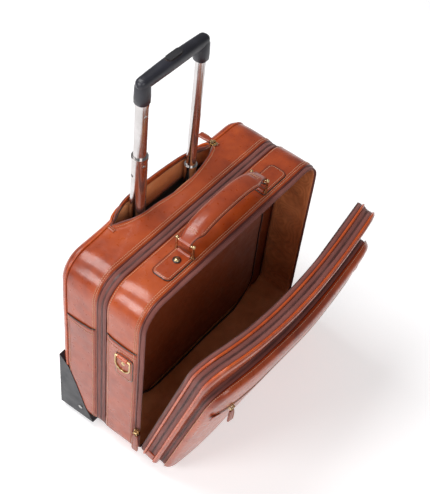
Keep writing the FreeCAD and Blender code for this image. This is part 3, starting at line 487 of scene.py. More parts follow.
# Near-black edge paint for leather edges; also laid round the grip's button and in the tubes' holes as
# painted shade.
EDGE_PAINT_AND_SHADE = leather("edge_paint_and_shade", (0.012, 0.004, 0.003), (0.02, 0.006, 0.004), (0.03, 0.009, 0.006),
               "leather_trim")
TAPE = cloth("tape", (0.155, 0.046, 0.036), (0.260, 0.090, 0.074), "zip_tape", 700)
COIL = plastic("coil", (0.085, 0.030, 0.026), (0.150, 0.062, 0.054), "zip_tape", 0.36)
THREAD = cloth("thread", (0.58, 0.30, 0.17), (0.78, 0.50, 0.33), "leather_trim", 900)
LINING = cloth("lining", (0.50, 0.165, 0.055), (0.76, 0.300, 0.125), "lining", 500, 0.42, 0.1, 0.006)
DIVIDER = cloth("divider", (0.150, 0.034, 0.011), (0.230, 0.060, 0.021), "divider_cloth", 450, 0.5, 0.0)
BINDING = cloth("binding", (0.016, 0.006, 0.004), (0.028, 0.010, 0.007), "divider_cloth", 650, 0.6, 0.05)
WELL = cloth("well", (0.008, 0.007, 0.006), (0.016, 0.013, 0.011), "well_cloth", 450, 0.8)
BOARD = plastic("board", (0.10, 0.075, 0.05), (0.14, 0.105, 0.07), "board", 0.8, 500, 0.0001)
TUBE = metal("tube", (0.50, 0.48, 0.47), (0.60, 0.575, 0.57), "tube", 0.17, (1, 1, 0.02), 900)
STEEL = metal("steel", (0.38, 0.37, 0.36), (0.50, 0.49, 0.47), "screw", 0.28)
BRASS = metal("brass", (0.42, 0.28, 0.13), (0.74, 0.56, 0.32), "brass", 0.24, scratch=500)
GRIP = plastic("grip", (0.010, 0.010, 0.015), (0.020, 0.020, 0.029), "grip", 0.36)
BUTTON = plastic("button", (0.010, 0.010, 0.012), (0.018, 0.018, 0.021), "button", 0.42)
HOUSING = plastic("housing", (0.009, 0.009, 0.012), (0.018, 0.018, 0.024), "housing", 0.40)
TYRE = plastic("tyre", (0.010, 0.010, 0.010), (0.020, 0.020, 0.020), "tyre", 0.62, 500, 0.0001)
HUB = plastic("hub", (0.030, 0.030, 0.032), (0.052, 0.052, 0.055), "wheel", 0.40)
FOOT_RUBBER = plastic("foot", (0.012, 0.011, 0.011), (0.022, 0.021, 0.020), "foot", 0.55, 600)

CAD_LOOKS = {
    TUBE: ["outer_tubes", "stage1_tube_left", "stage1_tube_right", "stage2_tube_left", "stage2_tube_right",
           "inner_tubes", "release_rods"],
    STEEL: ["wheel_axles", "housing_screws"],
    BUTTON: ["release_button"],
    HOUSING: ["wheel_housing_left", "wheel_housing_right", "trolley_brackets"],
    TYRE: ["tyre_left", "tyre_right"],
    HUB: ["wheel_left", "wheel_right"],
    FOOT_RUBBER: ["front_feet"],
    BRASS: ["handle_ring_left", "handle_ring_right", "d_ring_left", "d_ring_right", "rivets"]
           + [name + "_zip_slider" for name in ("trolley", "main", "rear", "organiser", "pocket", "slit")],
    BOARD: ["frame_board"],
}
for look, names in CAD_LOOKS.items():
    for node_name in names:
        frame["nodes"][node_name].data.materials[0] = look


# ---- Rear section ----

RIM = 13.0
SEAM_Y = BACK - RIM
REAR_END = SEAM_Y + RIM * pi / 2
WELL_HALF = cad("trolley_well")[1][0] - 3
WELL_Y = cad("outer_tubes")[0][1] + 13.5
WELL_X = (-119, -108, -94, -80, -66, -40, -18, 0, 30, 60, 90, 110, 119)
WELL_GAPS = {-1: (0, 4, 8, 12, 15.2, 16.5, 20, 22.5, 22.5, 18.5, 12, 5, 0),
             1: (0, 4, 8.5, 13.5, 16.5, 17, 17, 17, 17, 16.5, 10, 4, 0)}
RISE_X = (-165, -140, -119, -90, -66, -40, 0, 30, 60, 90, 119, 140)
WELL_RISE = (0, 1, 3.5, 7, 8.5, 9, 8.5, 7, 5, 3, 1.2, 0)
FLANK_FLATNESS = 0.6


def well_gap(x, side):
    """How far the trolley's opening reaches from its middle line, forward (-1) or back (1)."""
    return curve(x, WELL_X, WELL_GAPS[side]) * np.clip((WELL_HALF - np.abs(x)) / 8, 0, 1)


def on_top(spot, values):
    """Values for the places that lie on an outline's top side, and 0 for the others."""
    return np.where((spot[..., 3] > 0.99) & (spot[..., 1] > 300), values, 0)


def top_gaps(spot):
    return [on_top(spot, well_gap(spot[..., 0], side)) for side in (-1, 1)]


def puff(share):
    """How far padded leather rises between its two seams."""
    return 2.4 * np.sin(pi * np.clip(share, 0, 1)) ** 0.7


def rear_profile(v):
    """Depth and rise of the rear skin at a length v from its front edge, over the rim to the back face."""
    over = np.clip((v - SEAM_Y) / RIM, 0, pi / 2)
    turned = -1.6 * np.exp(-v / 1.2)
    groove = -1.6 * np.exp(-((v - SEAM_Y) / 1.6) ** 2)
    rise = puff(v / SEAM_Y) + turned + groove - RIM * (1 - np.cos(over))
    return np.minimum(v, SEAM_Y) + RIM * np.sin(over), rise


def rear_place(s, v):
    """Points on the rear skin, dented a little and with lips raised along the trolley's opening."""
    s, v = np.broadcast_arrays(np.asarray(s, float), np.asarray(v, float))
    y, out = rear_profile(v)
    spot = CASE.at(s)
    near, far = top_gaps(spot)
    front_lip = 1.6 * np.exp(-((WELL_Y - near - v) / 4.0) ** 2) * np.clip(near / 4, 0, 1)
    rise = on_top(spot, curve(spot[..., 0], RISE_X, WELL_RISE))
    over = rise + RIM * (1 - np.cos(np.clip((WELL_Y + far - SEAM_Y) / RIM, 0, 2)))
    start = np.clip((v - WELL_Y + 12) / 14, 0, 1)
    pull = np.clip((REAR_END - v) / (REAR_END - WELL_Y - far), 0, 1) ** 1.3 * start * start * (3 - 2 * start)
    side = np.clip(np.abs(spot[..., 2]), 0, 1)
    out = out + front_lip + over * pull - FLANK_FLATNESS * side * puff(v / SEAM_Y)
    out = out + 0.45 * waves(s, v, 70, 1) + 0.2 * side * waves(s, v, 26, 2)
    return on(CASE, s, y + 0.6 * rise * pull, out)


def rear_shell():
    """The gusset, the rim and the back panel as one skin, open on top where the trolley comes out."""
    s = CASE.around(4.0)
    near, far = top_gaps(CASE.at(s))
    shares = (0, 0.02, 0.05, 0.12, 0.22, 0.35, 0.5, 0.65, 0.78, 0.88, 0.95, 1)
    front = [(WELL_Y - near) * share for share in shares]
    shares = (0, 0.05, 0.12, 0.16, 0.2, 0.26, 0.34, 0.44, 0.54, 0.64, 0.74, 0.84, 0.92, 1)
    rear = [WELL_Y + far + (REAR_END - WELL_Y - far) * share for share in shares]
    rings = [rear_place(s, v) for v in front + rear]
    rim, middle = rings[-1], np.array([0, BACK, (FOOT + TOP) / 2])
    for share in (0.985, 0.96, 0.92, 0.86, 0.78, 0.68, 0.56, 0.42, 0.28, 0.14, 0.03):
        ring = middle + (rim - middle) * share
        ring[:, 1] = BACK + 2.2 * (1 - share ** 2) + 0.7 * waves(ring[:, 0], ring[:, 2], 120, 4)
        rings.append(ring)
    points = np.stack(rings, 1)
    rows, columns = points.shape[:2]
    hole = len(front) - 1
    faces = quads(rows, columns, True)
    index = np.arange(rows * columns).reshape(rows, columns)
    index[near <= 0, hole + 1] -= 1
    across = ((faces % columns == hole).sum(1) == 2) & ((faces % columns == hole + 1).sum(1) == 2)
    shape = Shape().add(points, index.ravel()[faces[~across]][:, ::-1]).cap(points[:, -1], True)
    thicken(shape.build("rear_leather", REAR, LEATHER, "rear_gusset", "back_panel"), 2.0)


def seam_cord(s):
    """Where the cord between gusset and back panel runs; it swerves behind the trolley's opening."""
    near, far = top_gaps(CASE.at(s))
    v = np.maximum(SEAM_Y, WELL_Y + far + 4.5 * np.clip(far / 5, 0, 1))
    turn = np.clip((v - SEAM_Y) / RIM, 0, pi / 2)[:, None]
    return rear_place(s, v) + outward(CASE, s) * 1.9 * np.cos(turn) + np.array([0, 1.9, 0]) * np.sin(turn)


def rear_trim():
    """The cord round the back, the front cord of the rear zip (near-black, painted shade of its seam), and
    the stitching.
    """
    cord = Shape().rod(seam_cord(CASE.around(4.0)), 1.9, closed=True, sides=10, up=(0, 1, 0))
    cord.build("rear_cord", REAR, PIPING)
    lip = Shape().rod(on(CASE, CASE.around(5.0), REAR_FRONT - 0.9, -0.9), 1.1, closed=True, up=(0, 1, 0))
    lip.build("rear_zip_lip", REAR, SEAM_SHADE, "rear_piping")
    rows = Shape()
    s = CASE.around(2.5)
    for v in (3.6, 6.8):
        rows.sew(rear_place(s, v), outward(CASE, s))
    for side in (-1, 1):
        x = np.linspace(4 - WELL_HALF, WELL_HALF - 4, 80)
        rows.sew(rear_place(CASE.length / 2 - x, WELL_Y + side * (well_gap(x, side) + 4.0)), UP)
    rows.build("rear_stitches", REAR, THREAD)
    line = CASE.inset(22)
    rows = Shape().sew(on(line, line.around(3), BACK + 1.0, 0), (0, 1, 0), lift=0.6)
    rows.build("back_stitches", REAR, THREAD)


def housing_edge(y):
    """Height of a slip panel's foot by depth: the wheel housing's sloping front edge, or the bottom seam."""
    return np.maximum(np.interp(y, (5, 14, 23, 38, 55, 74), (14, 29, 45, 84, 122, 140)) - 3.0, 33.0)


def slip_panel(name, body, side, near, far, near_top, far_top, place):
    """A slip pocket on one flank: a thin overlay with a slanted mouth, painted edges and stitching."""
    v, u = np.meshgrid(np.linspace(0, 1, 40), np.linspace(0, 1, 15), indexing="ij")
    y = near + (far - near) * u
    top = near_top + (far_top - near_top) * u + 3.0 * np.clip(1 - u * 6, 0, 1)
    s = CASE.side_length(housing_edge(y) + (top - housing_edge(y)) * v)
    rise = 1.2 + 0.9 * np.sin(pi * u) * v ** 6
    points = place(s if side > 0 else CASE.length - s, y) + xyz(side * rise, 0, 0)
    if side * (far - near) > 0:
        points = points[:, ::-1]
    Shape().sheet(points, 1.5).build(name, body, TRIM)
    edges = Shape().rod(points[-1] - (side * 0.5, 0, 0), 0.95, sides=6, up=(1, 0, 0))
    edges.build(name + "_edges", body, EDGE_PAINT_AND_SHADE)
    rows = Shape().sew(points[-3] + (side * 0.1, 0, 0), (side, 0, 0))
    for column in (1, -2):
        rows.sew(points[:, column], (side, 0, 0))
    rows.build(name + "_stitches", body, THREAD)


def front_place(s, y):
    """Points on the front section's gusset: padded, with both edges turned down."""
    s, y = np.broadcast_arrays(np.asarray(s, float), np.asarray(y, float))
    share = np.clip((FRONT_BACK - y) / (FRONT_BACK - FRONT_EDGE), 0, 1)
    edge = np.minimum(share, 1 - share) * (FRONT_BACK - FRONT_EDGE)
    padding = puff(share) * (1 - FLANK_FLATNESS * np.abs(CASE.at(s)[..., 2]))
    uneven = 0.5 * waves(s, y, 64, 5) + 0.2 * waves(s, y, 24, 6)
    return on(CASE, s, y, padding - 1.4 * np.exp(-edge / 1.2) + uneven)


# ---- Zips ----

def band(name, body, outline, profile, replaces, mapper=as_drawn, thick=1.2, wobble=0.0, seed=1):
    """A zip's tape round an outline; its profile gives depth and rise across the tape."""
    s = outline.around(5.0)[:, None]
    y, out = np.array(profile).T
    points = mapper(on(outline, s, y, out + wobble * waves(s, y[None] * 4, 38, seed)))
    Shape().sheet(points, thick, True).build(name, body, TAPE, *replaces)


def coil(name, body, outline, out, halves, ends=0.0, mapper=as_drawn):
    """A zip's coil, with a tooth every 1.75; halves gives the depth and the offset of each half's teeth."""
    shape = Shape()
    for y, offset in halves:
        s = np.arange(ends + offset, outline.length - ends, 1.75)
        centre, ahead, inner, over = (mapper(on(outline, s + ds, y + dy, out + rise))
                                      for ds, dy, rise in ((0, 0, 0), (0.5, 0, 0), (0, -1, 0), (0, 0, 1)))
        shape.bricks(centre, unit(ahead - centre), inner - centre, over - centre, (1.15, 1.3, 1.2))
    shape.build(name, body, COIL, smooth=False)


def edge_cord(shape, outline, y, out, radius, mapper=as_drawn, sides=8):
    shape.rod(mapper(on(outline, outline.around(4.0), y, out)), radius, True, sides, up=(0, 1, 0.1))


def rear_zip():
    """The zip between the two sections: two tapes meeting in a shallow valley, and the coil."""
    band("rear_zip_tape_rear", REAR, CASE,
         ((-1.5, -1.0), (-4, -0.6), (-7, -1.2), (ZIP_SPLIT + 0.4, -1.9)),
         ["rear_zip_tape_back"], wobble=0.25, seed=3)
    band("rear_zip_tape_front_look", FRONT, CASE,
         ((ZIP_SPLIT - 0.4, -1.9), (-11, -1.2), (-14, -0.6), (-16.5, -1.0)),
         ["rear_zip_tape_front"], wobble=0.25, seed=4)
    coil("rear_zip_coil_rear", REAR, CASE, -1.5, [(ZIP_SPLIT + 0.75, 0)])
    coil("rear_zip_coil_front", FRONT, CASE, -1.5, [(ZIP_SPLIT - 0.75, 0.87)])


# ---- Front section ----

def front_shell():
    """The leather gusset of the front section, its stitching and the cords in both its seams, coloured
    near-black as painted shade of those seams.
    """
    share = np.array([0, 0.015, 0.04, 0.1, 0.2, 0.32, 0.45, 0.58, 0.7, 0.8, 0.9, 0.96, 0.985, 1])
    points = front_place(CASE.around(4.0)[:, None], FRONT_BACK + (FRONT_EDGE - FRONT_BACK) * share)
    Shape().sheet(points, 2.2, True).build("front_leather", FRONT, LEATHER, "front_gusset")
    rows = Shape()
    s = CASE.around(2.5)
    for y in (FRONT_BACK - 3.5, FRONT_EDGE + 7.0, FRONT_EDGE + 3.8):
        rows.sew(front_place(s, y), outward(CASE, s))
    rows.build("front_stitches", FRONT, THREAD)
    cords = Shape()
    edge_cord(cords, CASE, FRONT_BACK + 1, -0.9, 1.1)
    edge_cord(cords, CASE, FRONT_EDGE - 1, -0.7, 1.2)
    cords.build("front_cords", FRONT, SEAM_SHADE, "front_piping")


def main_zip_case():
    """The case's half of the main zip, standing out as a free edge round the mouth."""
    band("main_zip_tape_on_case", FRONT, CASE, ((-79.5, -1.5), (-81, -1.3), (-84, -1.8), (-87, -2.8)),
         ["main_zip_tape_case"], wobble=0.35, seed=8)
    band("main_zip_binding", FRONT, CASE, ((-78, -3.2), (-82, -3.4), (-85.5, -3.6)), [], thick=0.8)
    coil("main_zip_coil_case", FRONT, CASE, -2.8, [(FRONT_FACE + 0.6, 0)], CASE.side_length(40))


def case_lining():
    """The tan lining of the front section's walls, slack and rippled."""
    s = CASE.around(6.0)[:, None]
    y = np.linspace(-21, -84, 15)
    edge = np.sin(pi * np.linspace(0, 1, 15)) ** 0.5
    ripple = edge * (1.5 * waves(s, y[None], 46, 9) + 0.8 * waves(s, y[None] * 0.4, 17, 10))
    slack = 1 + 0.4 * np.clip(-CASE.at(s)[..., 3], 0, 1)
    points = on(CASE, s, y, -4.6 - 2.2 * edge + ripple * slack)
    Shape().sheet(points, 0.9, True).build("front_lining_cloth", FRONT, LINING, "front_lining")


def disc(name, body, outline, y, look, replaces, height, seed, thick, mapper=as_drawn):
    """A cloth face that fills an outline, puffed by a height towards -Y and slightly uneven."""
    edge = on(outline, outline.around(6.0), y, 0)
    middle = np.array([0, y, (outline.low + outline.high) / 2])
    share = 1 - np.linspace(0, 0.98, 10) ** 1.3
    points = middle + (edge - middle)[:, None] * share[:, None]
    uneven = 0.8 * (1 - share ** 8) * waves(points[..., 0], points[..., 2], 60, seed)
    points[..., 1] = y - height * (1 - share ** 4) - uneven
    skin(name, body, look, replaces, mapper(points), thick, 0)


def divider():
    """The dark wall at the back of the laptop compartment, with its padded sleeve and straps."""
    disc("divider_cloth", FRONT, CASE.inset(4.5), -20.2, DIVIDER, "divider_wall", 0.8, 11, 1.5)
    low, high = cad("laptop_sleeve")
    half, foot, top = high[0], low[2] + 3, high[2]
    v, u = np.meshgrid(np.linspace(0, 1, 33), np.linspace(-1, 1, 41), indexing="ij")
    corner = 30.0
    below = np.clip(corner - v * (top - foot), 0, corner)
    x = u * (half - corner + np.sqrt(corner ** 2 - below ** 2))
    z = foot + (top - foot) * v
    swell = np.sqrt(1 - u ** 8) * np.clip(v * 9, 0, 1) ** 0.5
    points = xyz(x, -22.5 - 11.0 * swell - 0.9 * waves(x, z, 70, 12) * swell, z)
    Shape().sheet(points, 2.5).build("sleeve_cloth", FRONT, DIVIDER, "laptop_sleeve")
    trim = Shape().rod(points[-1], 2.0)
    for column in (0, -1):
        trim.rod(points[:, column] + (0, -1, 0), 1.6, up=(0, 1, 0))
    for half_width, low_edge, corner in ((118, 62, 48), (152, 36, 55)):
        line = Outline(half_width, low_edge, top + 60, 10, corner)
        reach = line.side_length(top - 6)
        x, z, *_ = line.at(np.linspace(-reach, reach, 150)).T
        trim.rod(xyz(x, -33.8 - 0.9 * waves(x, z, 70, 12), z), 1.7, up=(0, 1, 0))
    trim.build("sleeve_binding", FRONT, BINDING)


def patch(name, body, rim, place, normal, thick):
    """A stitched patch with a painted edge; place(across, along) lays its rim on the body."""
    normal = np.asarray(normal, float)
    loop = place(*rim.at(rim.around(1.5)).T[:2])
    middle = loop.mean(0)
    if np.cross(loop - middle, np.roll(loop, -1, 0) - middle).sum(0) @ normal < 0:
        loop = loop[::-1]
    section = ((0.03, -0.5), (0.97, -0.5), (1, -0.3), (1, 0.3), (0.97, 0.5), (0.8, 0.56), (0.4, 0.6),
               (0.03, 0.6))
    points = [middle + (loop - middle) * share + normal * height * thick for share, height in section]
    points = np.stack(points, 1)
    base = Shape().add(points, quads(*points.shape[:2], True)).cap(points[:, -1]).cap(points[:, 0], True)
    edge = Shape().rod(loop, thick * 0.42, closed=True, sides=6, up=normal)
    seam = rim.inset(2.6)
    line = place(*seam.at(seam.around(1.5)).T[:2]) + normal * thick * 0.55
    rows = Shape().sew(np.concatenate([line, line[:1]]), normal)
    edge.build(name + "_edge", body, EDGE_PAINT_AND_SHADE)
    rows.build(name + "_stitches", body, THREAD)
    base.build(name, body, TRIM)


def front_trim():
    """The handle's tabs, each folded over its ring's bar, and the rivets."""
    thick = 2.4
    for side, name in SIDES:
        def place(across, along):
            top = front_place(CASE.length / 2 - side * along, CENTRE + across)[..., 2]
            return xyz(side * along, CENTRE + across, top + thick / 2)

        patch("handle_tab_" + name, FRONT, Outline(15.5, 82, 142, 8, 2), place, UP, thick)
        line = xyz(side * TAB_FOLD[0], CENTRE + np.linspace(-11.5, 11.5, 13), TAB_FOLD[1])
        fold = Shape().rod(line, 4.4, sides=14, flat=0.9)
        fold.build("handle_fold_" + name, FRONT, TRIM)
    dome, washer = Shape(), Shape()
    for side in (-1, 1):
        head = (side * TAB_RIVET, CENTRE, TOP + 5.2)
        dome.lathe(head, UP, [(4.6, 0), (4.4, 0.9), (3.4, 1.9), (1.8, 2.5), (0.4, 2.7)])
        washer.lathe(head, UP, [(6.3, -0.4), (6.3, 0.5), (5.6, 0.9), (4.4, 0.9)])
        head = (side * (HALF + 3.2), CENTRE, D_RING_RIVET)
        dome.lathe(head, (side, 0, 0), [(4.0, 0), (3.8, 0.8), (2.6, 1.5), (0.4, 1.9)])
        washer.lathe(head, (side, 0, 0), [(5.4, -1.0), (5.4, 0.4), (4.6, 0.7), (3.8, 0.7)])
    dome.build("rivet_domes", FRONT, BRASS, "rivets")
    washer.build("rivet_washers", FRONT, EDGE_PAINT_AND_SHADE)


def dring_tab(side, name):
    """The patch on the flank that folds over the D-ring's bar."""
    def place(across, along):
        return xyz(side * (HALF + 2.8), CENTRE - 2 + across, along)

    patch("dring_patch_" + name, FRONT, Outline(15.5, 203, 254, 3, 7), place, (side, 0, 0), 2.0)
    bar = xyz(side * (HALF + 4.6), CENTRE + np.linspace(-8.8, 8.8, 9), D_RING_BAR)
    Shape().rod(bar, 3.5, sides=14).build("dring_fold_" + name, FRONT, PIPING)


def handle():
    """The carry handle: a padded leather strap, narrowed to a loop at each ring, with stitched edges."""
    half = cad("handle_ring_right")[0][0] + 1.7
    x = np.linspace(-half, half, 61)
    tip = np.clip((half - np.abs(x)) / 26.0, 0, 1)
    ease = tip * tip * (3 - 2 * tip)
    wide = 9.6 + 5.8 * ease
    pad = 2.4 + 6.6 * ease ** 2
    top = 418.5 - 20.5 * (np.abs(x) / half) ** 3.0
    path = xyz(x, CENTRE, top - pad)
    along = unit(np.gradient(path, axis=0))
    up = xyz(-along[:, 2], 0, along[:, 0])
    hide = Shape().loft(path, up, wide, pad)
    for side in (-1, 1):
        hide.rod(xyz(side * half, CENTRE + np.linspace(-9.8, 9.8, 11), HANDLE_LOOP), 4.6, sides=16)
    hide.build("carry_handle_leather", "carry_strap", TRIM, "carry_handle")
    rows, edge = Shape(), Shape()
    keep = np.abs(x) < 70
    for side in (-1, 1):
        line = path + up * (pad * 0.42)[:, None] + xyz(0, side * (wide - 1.6), 0)
        rows.sew(line[keep], up[keep] * 0.8 + (0, side * 0.6, 0), lift=0.6)
        edge.rod(path - up * 0.3 + xyz(0, side * (wide - 0.1), 0), 0.8)
    for at in (-74, -70.5, 70.5, 74):
        share = np.linspace(-1, 1, 9)
        height = np.interp(at, x, top) + 0.1 - 1.2 * np.abs(share) ** 3
        rows.sew(xyz(at, CENTRE + 8.5 * share, height), UP)
    rows.build("carry_handle_stitches", "carry_strap", THREAD)
    edge.build("carry_handle_edge", "carry_strap", EDGE_PAINT_AND_SHADE)


def ring_posts():
    """The brass posts with ball heads at the handle rings' sides."""
    for side, name in SIDES:
        low, high = cad("handle_ring_" + name)
        foot = ((1.4, -1), (2.5, 0.4), (2.5, 2.4), (1.9, 3.6))
        ball = ((1.9, -4.4), (2.6, -3.2), (3.0, -1.0), (2.6, 1.4), (1.3, 2.8), (0.3, 3.1))
        profile = [(r, low[2] + z) for r, z in foot] + [(r, high[2] + z) for r, z in ball]
        posts = Shape()
        for y in (low[1] + 1.7, high[1] - 1.7):
            posts.lathe(((low[0] + high[0]) / 2, y, 0), UP, profile)
        posts.build("ring_posts_" + name, "ring_" + name, BRASS)


def pull_grip():
    """The moulded grip: a swelling bar with round ends on two short sockets, and a near-black ring round its
    button as painted shade of the gap.
    """
    low, high = cad("grip")
    middle = (low[1] + high[1]) / 2
    crown = high[2] - 8.5
    half, radius = 73.0, 10.0
    x = np.concatenate([np.linspace(-half, -64, 7), np.linspace(-56, 56, 15), np.linspace(64, half, 7)])
    round_end = np.sqrt(1 - (np.clip(np.abs(x) - 64, 0, 8.98) / 9) ** 2)
    size = (8.8 + (radius - 8.8) * np.cos(x / half * pi / 2)) * round_end
    bar = Shape().loft(xyz(x, middle, crown - 0.8 - 1.2 * (x / half) ** 2), UP, size, size)
    size = np.array([10.2, 11.0, 11.2, 10.6, 8.5])
    for leg in (-62.0, 62.0):
        z = np.array([low[2], low[2] + 1.2, low[2] + 10, crown - 6, crown + 1])
        bar.loft(xyz(leg, middle, z), (-1.0, 0, 0), size * 0.97, size)
    bar.build("grip_moulding", "pull_handle", GRIP, "grip")
    turn = np.linspace(0, 2 * pi, 40, endpoint=False)
    along = 15.9 * np.sign(np.cos(turn)) * np.abs(np.cos(turn)) ** 0.6
    across = 5.7 * np.sin(turn)
    oval = xyz(along, middle + across, crown - 0.8 + np.sqrt(radius ** 2 - across ** 2))
    # The near-black ring is painted shade of the gap round the button.
    Shape().rod(oval, 0.8, closed=True).build("release_button_gap_shade", "pull_handle", EDGE_PAINT_AND_SHADE)


# ---- Trolley ----

def well():
    """What shows inside the trolley's opening: zip tapes along both lips, a tan facing and a black throat."""
    x = np.linspace(-WELL_HALF, WELL_HALF, 81)
    tapes, coils, rims = Shape(), Shape(), []
    for side in (-1, 1):
        gap = well_gap(x, side)
        edge = rear_place(CASE.length / 2 - x, WELL_Y + side * gap)
        inner = edge + xyz(0, np.minimum(gap, 1.8) * -side, -1.2 - 5.0 * np.clip(gap / 8, 0, 1))
        lip = [edge + (0, side * 2.0, -0.8), edge + (0, -0.2 * side, 0.5), (edge + inner) / 2, inner]
        tapes.sheet(np.stack(lip, 1)[::-side], 1.0)
        spots = np.linspace(3, len(x) - 4, int(WELL_HALF / 0.9))
        centre, along = (np.stack([np.interp(spots, np.arange(len(x)), column) for column in values.T], -1)
                         for values in (inner, np.gradient(inner, axis=0)))
        coils.bricks(centre, unit(along), (0, 1, 0), UP, (1.1, 1.4, 1.8))
        rims.append(inner)
    tapes.build("trolley_zip_tapes", REAR, TAPE, "trolley_zip_tape")
    coils.build("trolley_zip_coils", REAR, COIL, smooth=False)
    rim = np.concatenate([rims[0], rims[1][-2:0:-1]])
    ease = 14.4 * (1 - np.clip(np.abs(rim[:, 0]) / (WELL_HALF + 0.5), 0, 1) ** 8) ** 0.5
    throat = xyz(rim[:, 0], WELL_Y + np.where(np.arange(len(rim)) < len(x), -ease, ease), rim[:, 2])
    columns = [rim + (0, 0, 0.6)]
    for share, z in ((0.8, 360), (1.1, 352), (1.1, 344), (1, 334), (1, 326), (1, 312), (1, 290), (1, 268)):
        ring = rim + (throat - rim) * share
        ring[:, 2] = z + 2.0 * waves(ring[:, 0], ring[:, 1], 55, 15) * (z > 320)
        ring[:, 1] += 0.6 * waves(ring[:, 0], ring[:, 2], 30, 16)
        columns.append(ring)
    funnel = np.stack(columns, 1)
    Shape().sheet(funnel[:, :6], 0.8, True).build("well_facing", REAR, LINING)
    lower = Shape().sheet(funnel[:, 5:], 0.8, True)
    deep = WELL_Y + np.array([-13, 0, 13])
    for first, last in ((-WELL_HALF, -77), (-47, 47), (77, WELL_HALF)):
        across = np.array([[first], [(first + last) / 2], [last]])
        lower.sheet(xyz(across, deep, 269), 1.0)
    lower.build("well_throat", REAR, WELL, "trolley_well")
    ends, rows = Shape(), Shape()
    for side in (-1, 1):
        s = CASE.length / 2 - side * (WELL_HALF + 2)
        line = rear_place(s, WELL_Y + np.linspace(-8, 8, 9)) + (0, 0, 0.6)
        ends.strap(line, 6.0, 1.4, UP)
        for shift in (-1.6, 1.6):
            rows.sew(line + (shift, 0, 0.7), UP, 2.6, length=1.8)
    ends.build("trolley_zip_ends", REAR, TRIM)
    rows.build("trolley_zip_end_stitches", REAR, THREAD)


def locks():
    """The small spring locks and holes that show in the tubes' walls; each hole is a near-black disc, painted
    shade of its inside.
    """
    front, flank = unit(np.array([-0.25, -0.97, 0])), unit(np.array([-0.95, 0.31, 0]))
    # The second stage1 mark, in the near-black edge material, is a hole drawn as painted shade.
    marks = (("stage1", 1, 13.0, front, STEEL), ("stage1", 2, 34.0, flank, EDGE_PAINT_AND_SHADE),
             ("stage2", 1, 20.0, front, STEEL))
    for side, name in SIDES:
        for stage, number, down, way, look in marks:
            low, high = cad(stage + "_tube_" + name)
            middle = (low + high) / 2
            foot = np.array([middle[0], middle[1], high[2] - down]) + way * ((high[0] - low[0]) / 2 - 1.2)
            mark = Shape().lathe(foot, way, [(2.8, 0), (2.8, 0.3), (2.3, 0.62), (0.3, 0.68)], 16)
            mark.build("%s_%s_mark_%d" % (name, stage, number), stage + "_" + name, look)


def rear_lining():
    """The rear section's inner lining, seen when its zip is open."""
    s, y = CASE.around(8.0)[:, None], np.linspace(-6, 33, 8)
    points = on(CASE, s, y, -4.2 + 0.5 * waves(s, y[None], 40, 16))
    Shape().sheet(points, 0.8, True).build("rear_lining_cloth", REAR, LINING, "rear_lining")


# ---- Flap ----

POCKET_EDGE = -142.0
CROWN = 10.0
SLIT_HEIGHT = 239.0


def flap_bands():
    """The flap's layered edge: main zip, cord, organiser zip, cord, front panel's edge, pocket zip."""
    band("main_zip_tape_on_flap", "flap", FLAP, ((-88.8, -2.2), (-92, -1.2), (-96.5, -1.4)),
         ["main_zip_tape_flap"], flap_place, wobble=0.4, seed=21)
    coil("main_zip_coil_flap", "flap", FLAP, -2.4, [(-88.6, 0)], FLAP.side_length(44), flap_place)
    cords = Shape()
    for y in (-97.2, -117.2):
        edge_cord(cords, FLAP, y, 0.2, 2.0, flap_place, sides=10)
    cords.build("flap_cords", "flap", PIPING, "flap_piping")
    profile = ((-98.5, -1.2), (-101, -0.4), (-104.6, -1.2), (-107, -2.6), (-109.4, -1.2), (-113, -0.4),
               (-116.2, -1.2))
    band("organiser_tape", "flap", FLAP, profile, ["organiser_zip_tape"], flap_place, wobble=0.3, seed=22)
    coil("organiser_zip_coil", "flap", FLAP, -1.7, [(-105.9, 0), (-108.1, 0.87)], mapper=flap_place)
    caps = Shape()
    near = FLAP.steps[1][0] + np.linspace(14, 38, 8)
    y, rise = np.array(((-99.5, -0.2), (-101, 0.5), (-107, 0.3), (-113, 0.5), (-114.8, -0.2))).T
    for s in (near, FLAP.length - near[::-1]):
        caps.sheet(flap_place(on(FLAP, s[:, None], y, rise)), 1.3)
    caps.build("organiser_zip_ends", "flap", TRIM)
    rows = Shape()
    for y in (-99.6, -114.8):
        path, below = (flap_place(on(FLAP, FLAP.around(3.0), y, rise)) for rise in (-0.5, -1.5))
        rows.sew(path, path - below, 3.0, length=2.0, width=0.4)
    rows.build("flap_tape_stitches", "flap", PIPING)


def flap_panels():
    """The flap's inner lining and its outer leather panel."""
    disc("flap_lining", "flap", FLAP.inset(3), -96.6, LINING, "flap_back_panel", -0.6, 23, 1.6, flap_place)
    rim = FLAP.inset(0.4)
    inner = POCKET.inset(8)
    columns = []
    for share, y, rise in ((0, -118.0, 0.2), (0.02, -119.6, 0.9), (0.06, -120.8, 0.4), (0.14, -121.2, 0),
                           (0.4, -121.5, 0), (0.7, -121.5, 0), (1, -121.4, 0)):
        outer = on(rim, rim.around(5.0), y, rise)
        columns.append(outer + (same_way(inner, outer) - outer) * np.array([1, 0, 1]) * share)
    points = np.stack(columns, 1)
    points[..., 1] += 0.3 * waves(points[..., 0], points[..., 2], 45, 24)
    middle = np.array([0, -121.4, (inner.low + inner.high) / 2])
    fill = [middle + (points[:, -1] - middle) * share for share in (0.8, 0.6, 0.4, 0.2, 0.03)]
    points = flap_place(np.concatenate([points, np.stack(fill, 1)], 1))
    skin("flap_front_leather", "flap", LEATHER, "flap_front_panel", points, 2.0, 0)
    line = FLAP.inset(7.0)
    path, below = (flap_place(on(line, line.around(3.0), y, 0)) for y in (-121.6, -120.6))
    Shape().sew(path, path - below).build("flap_front_stitches", "flap", THREAD)


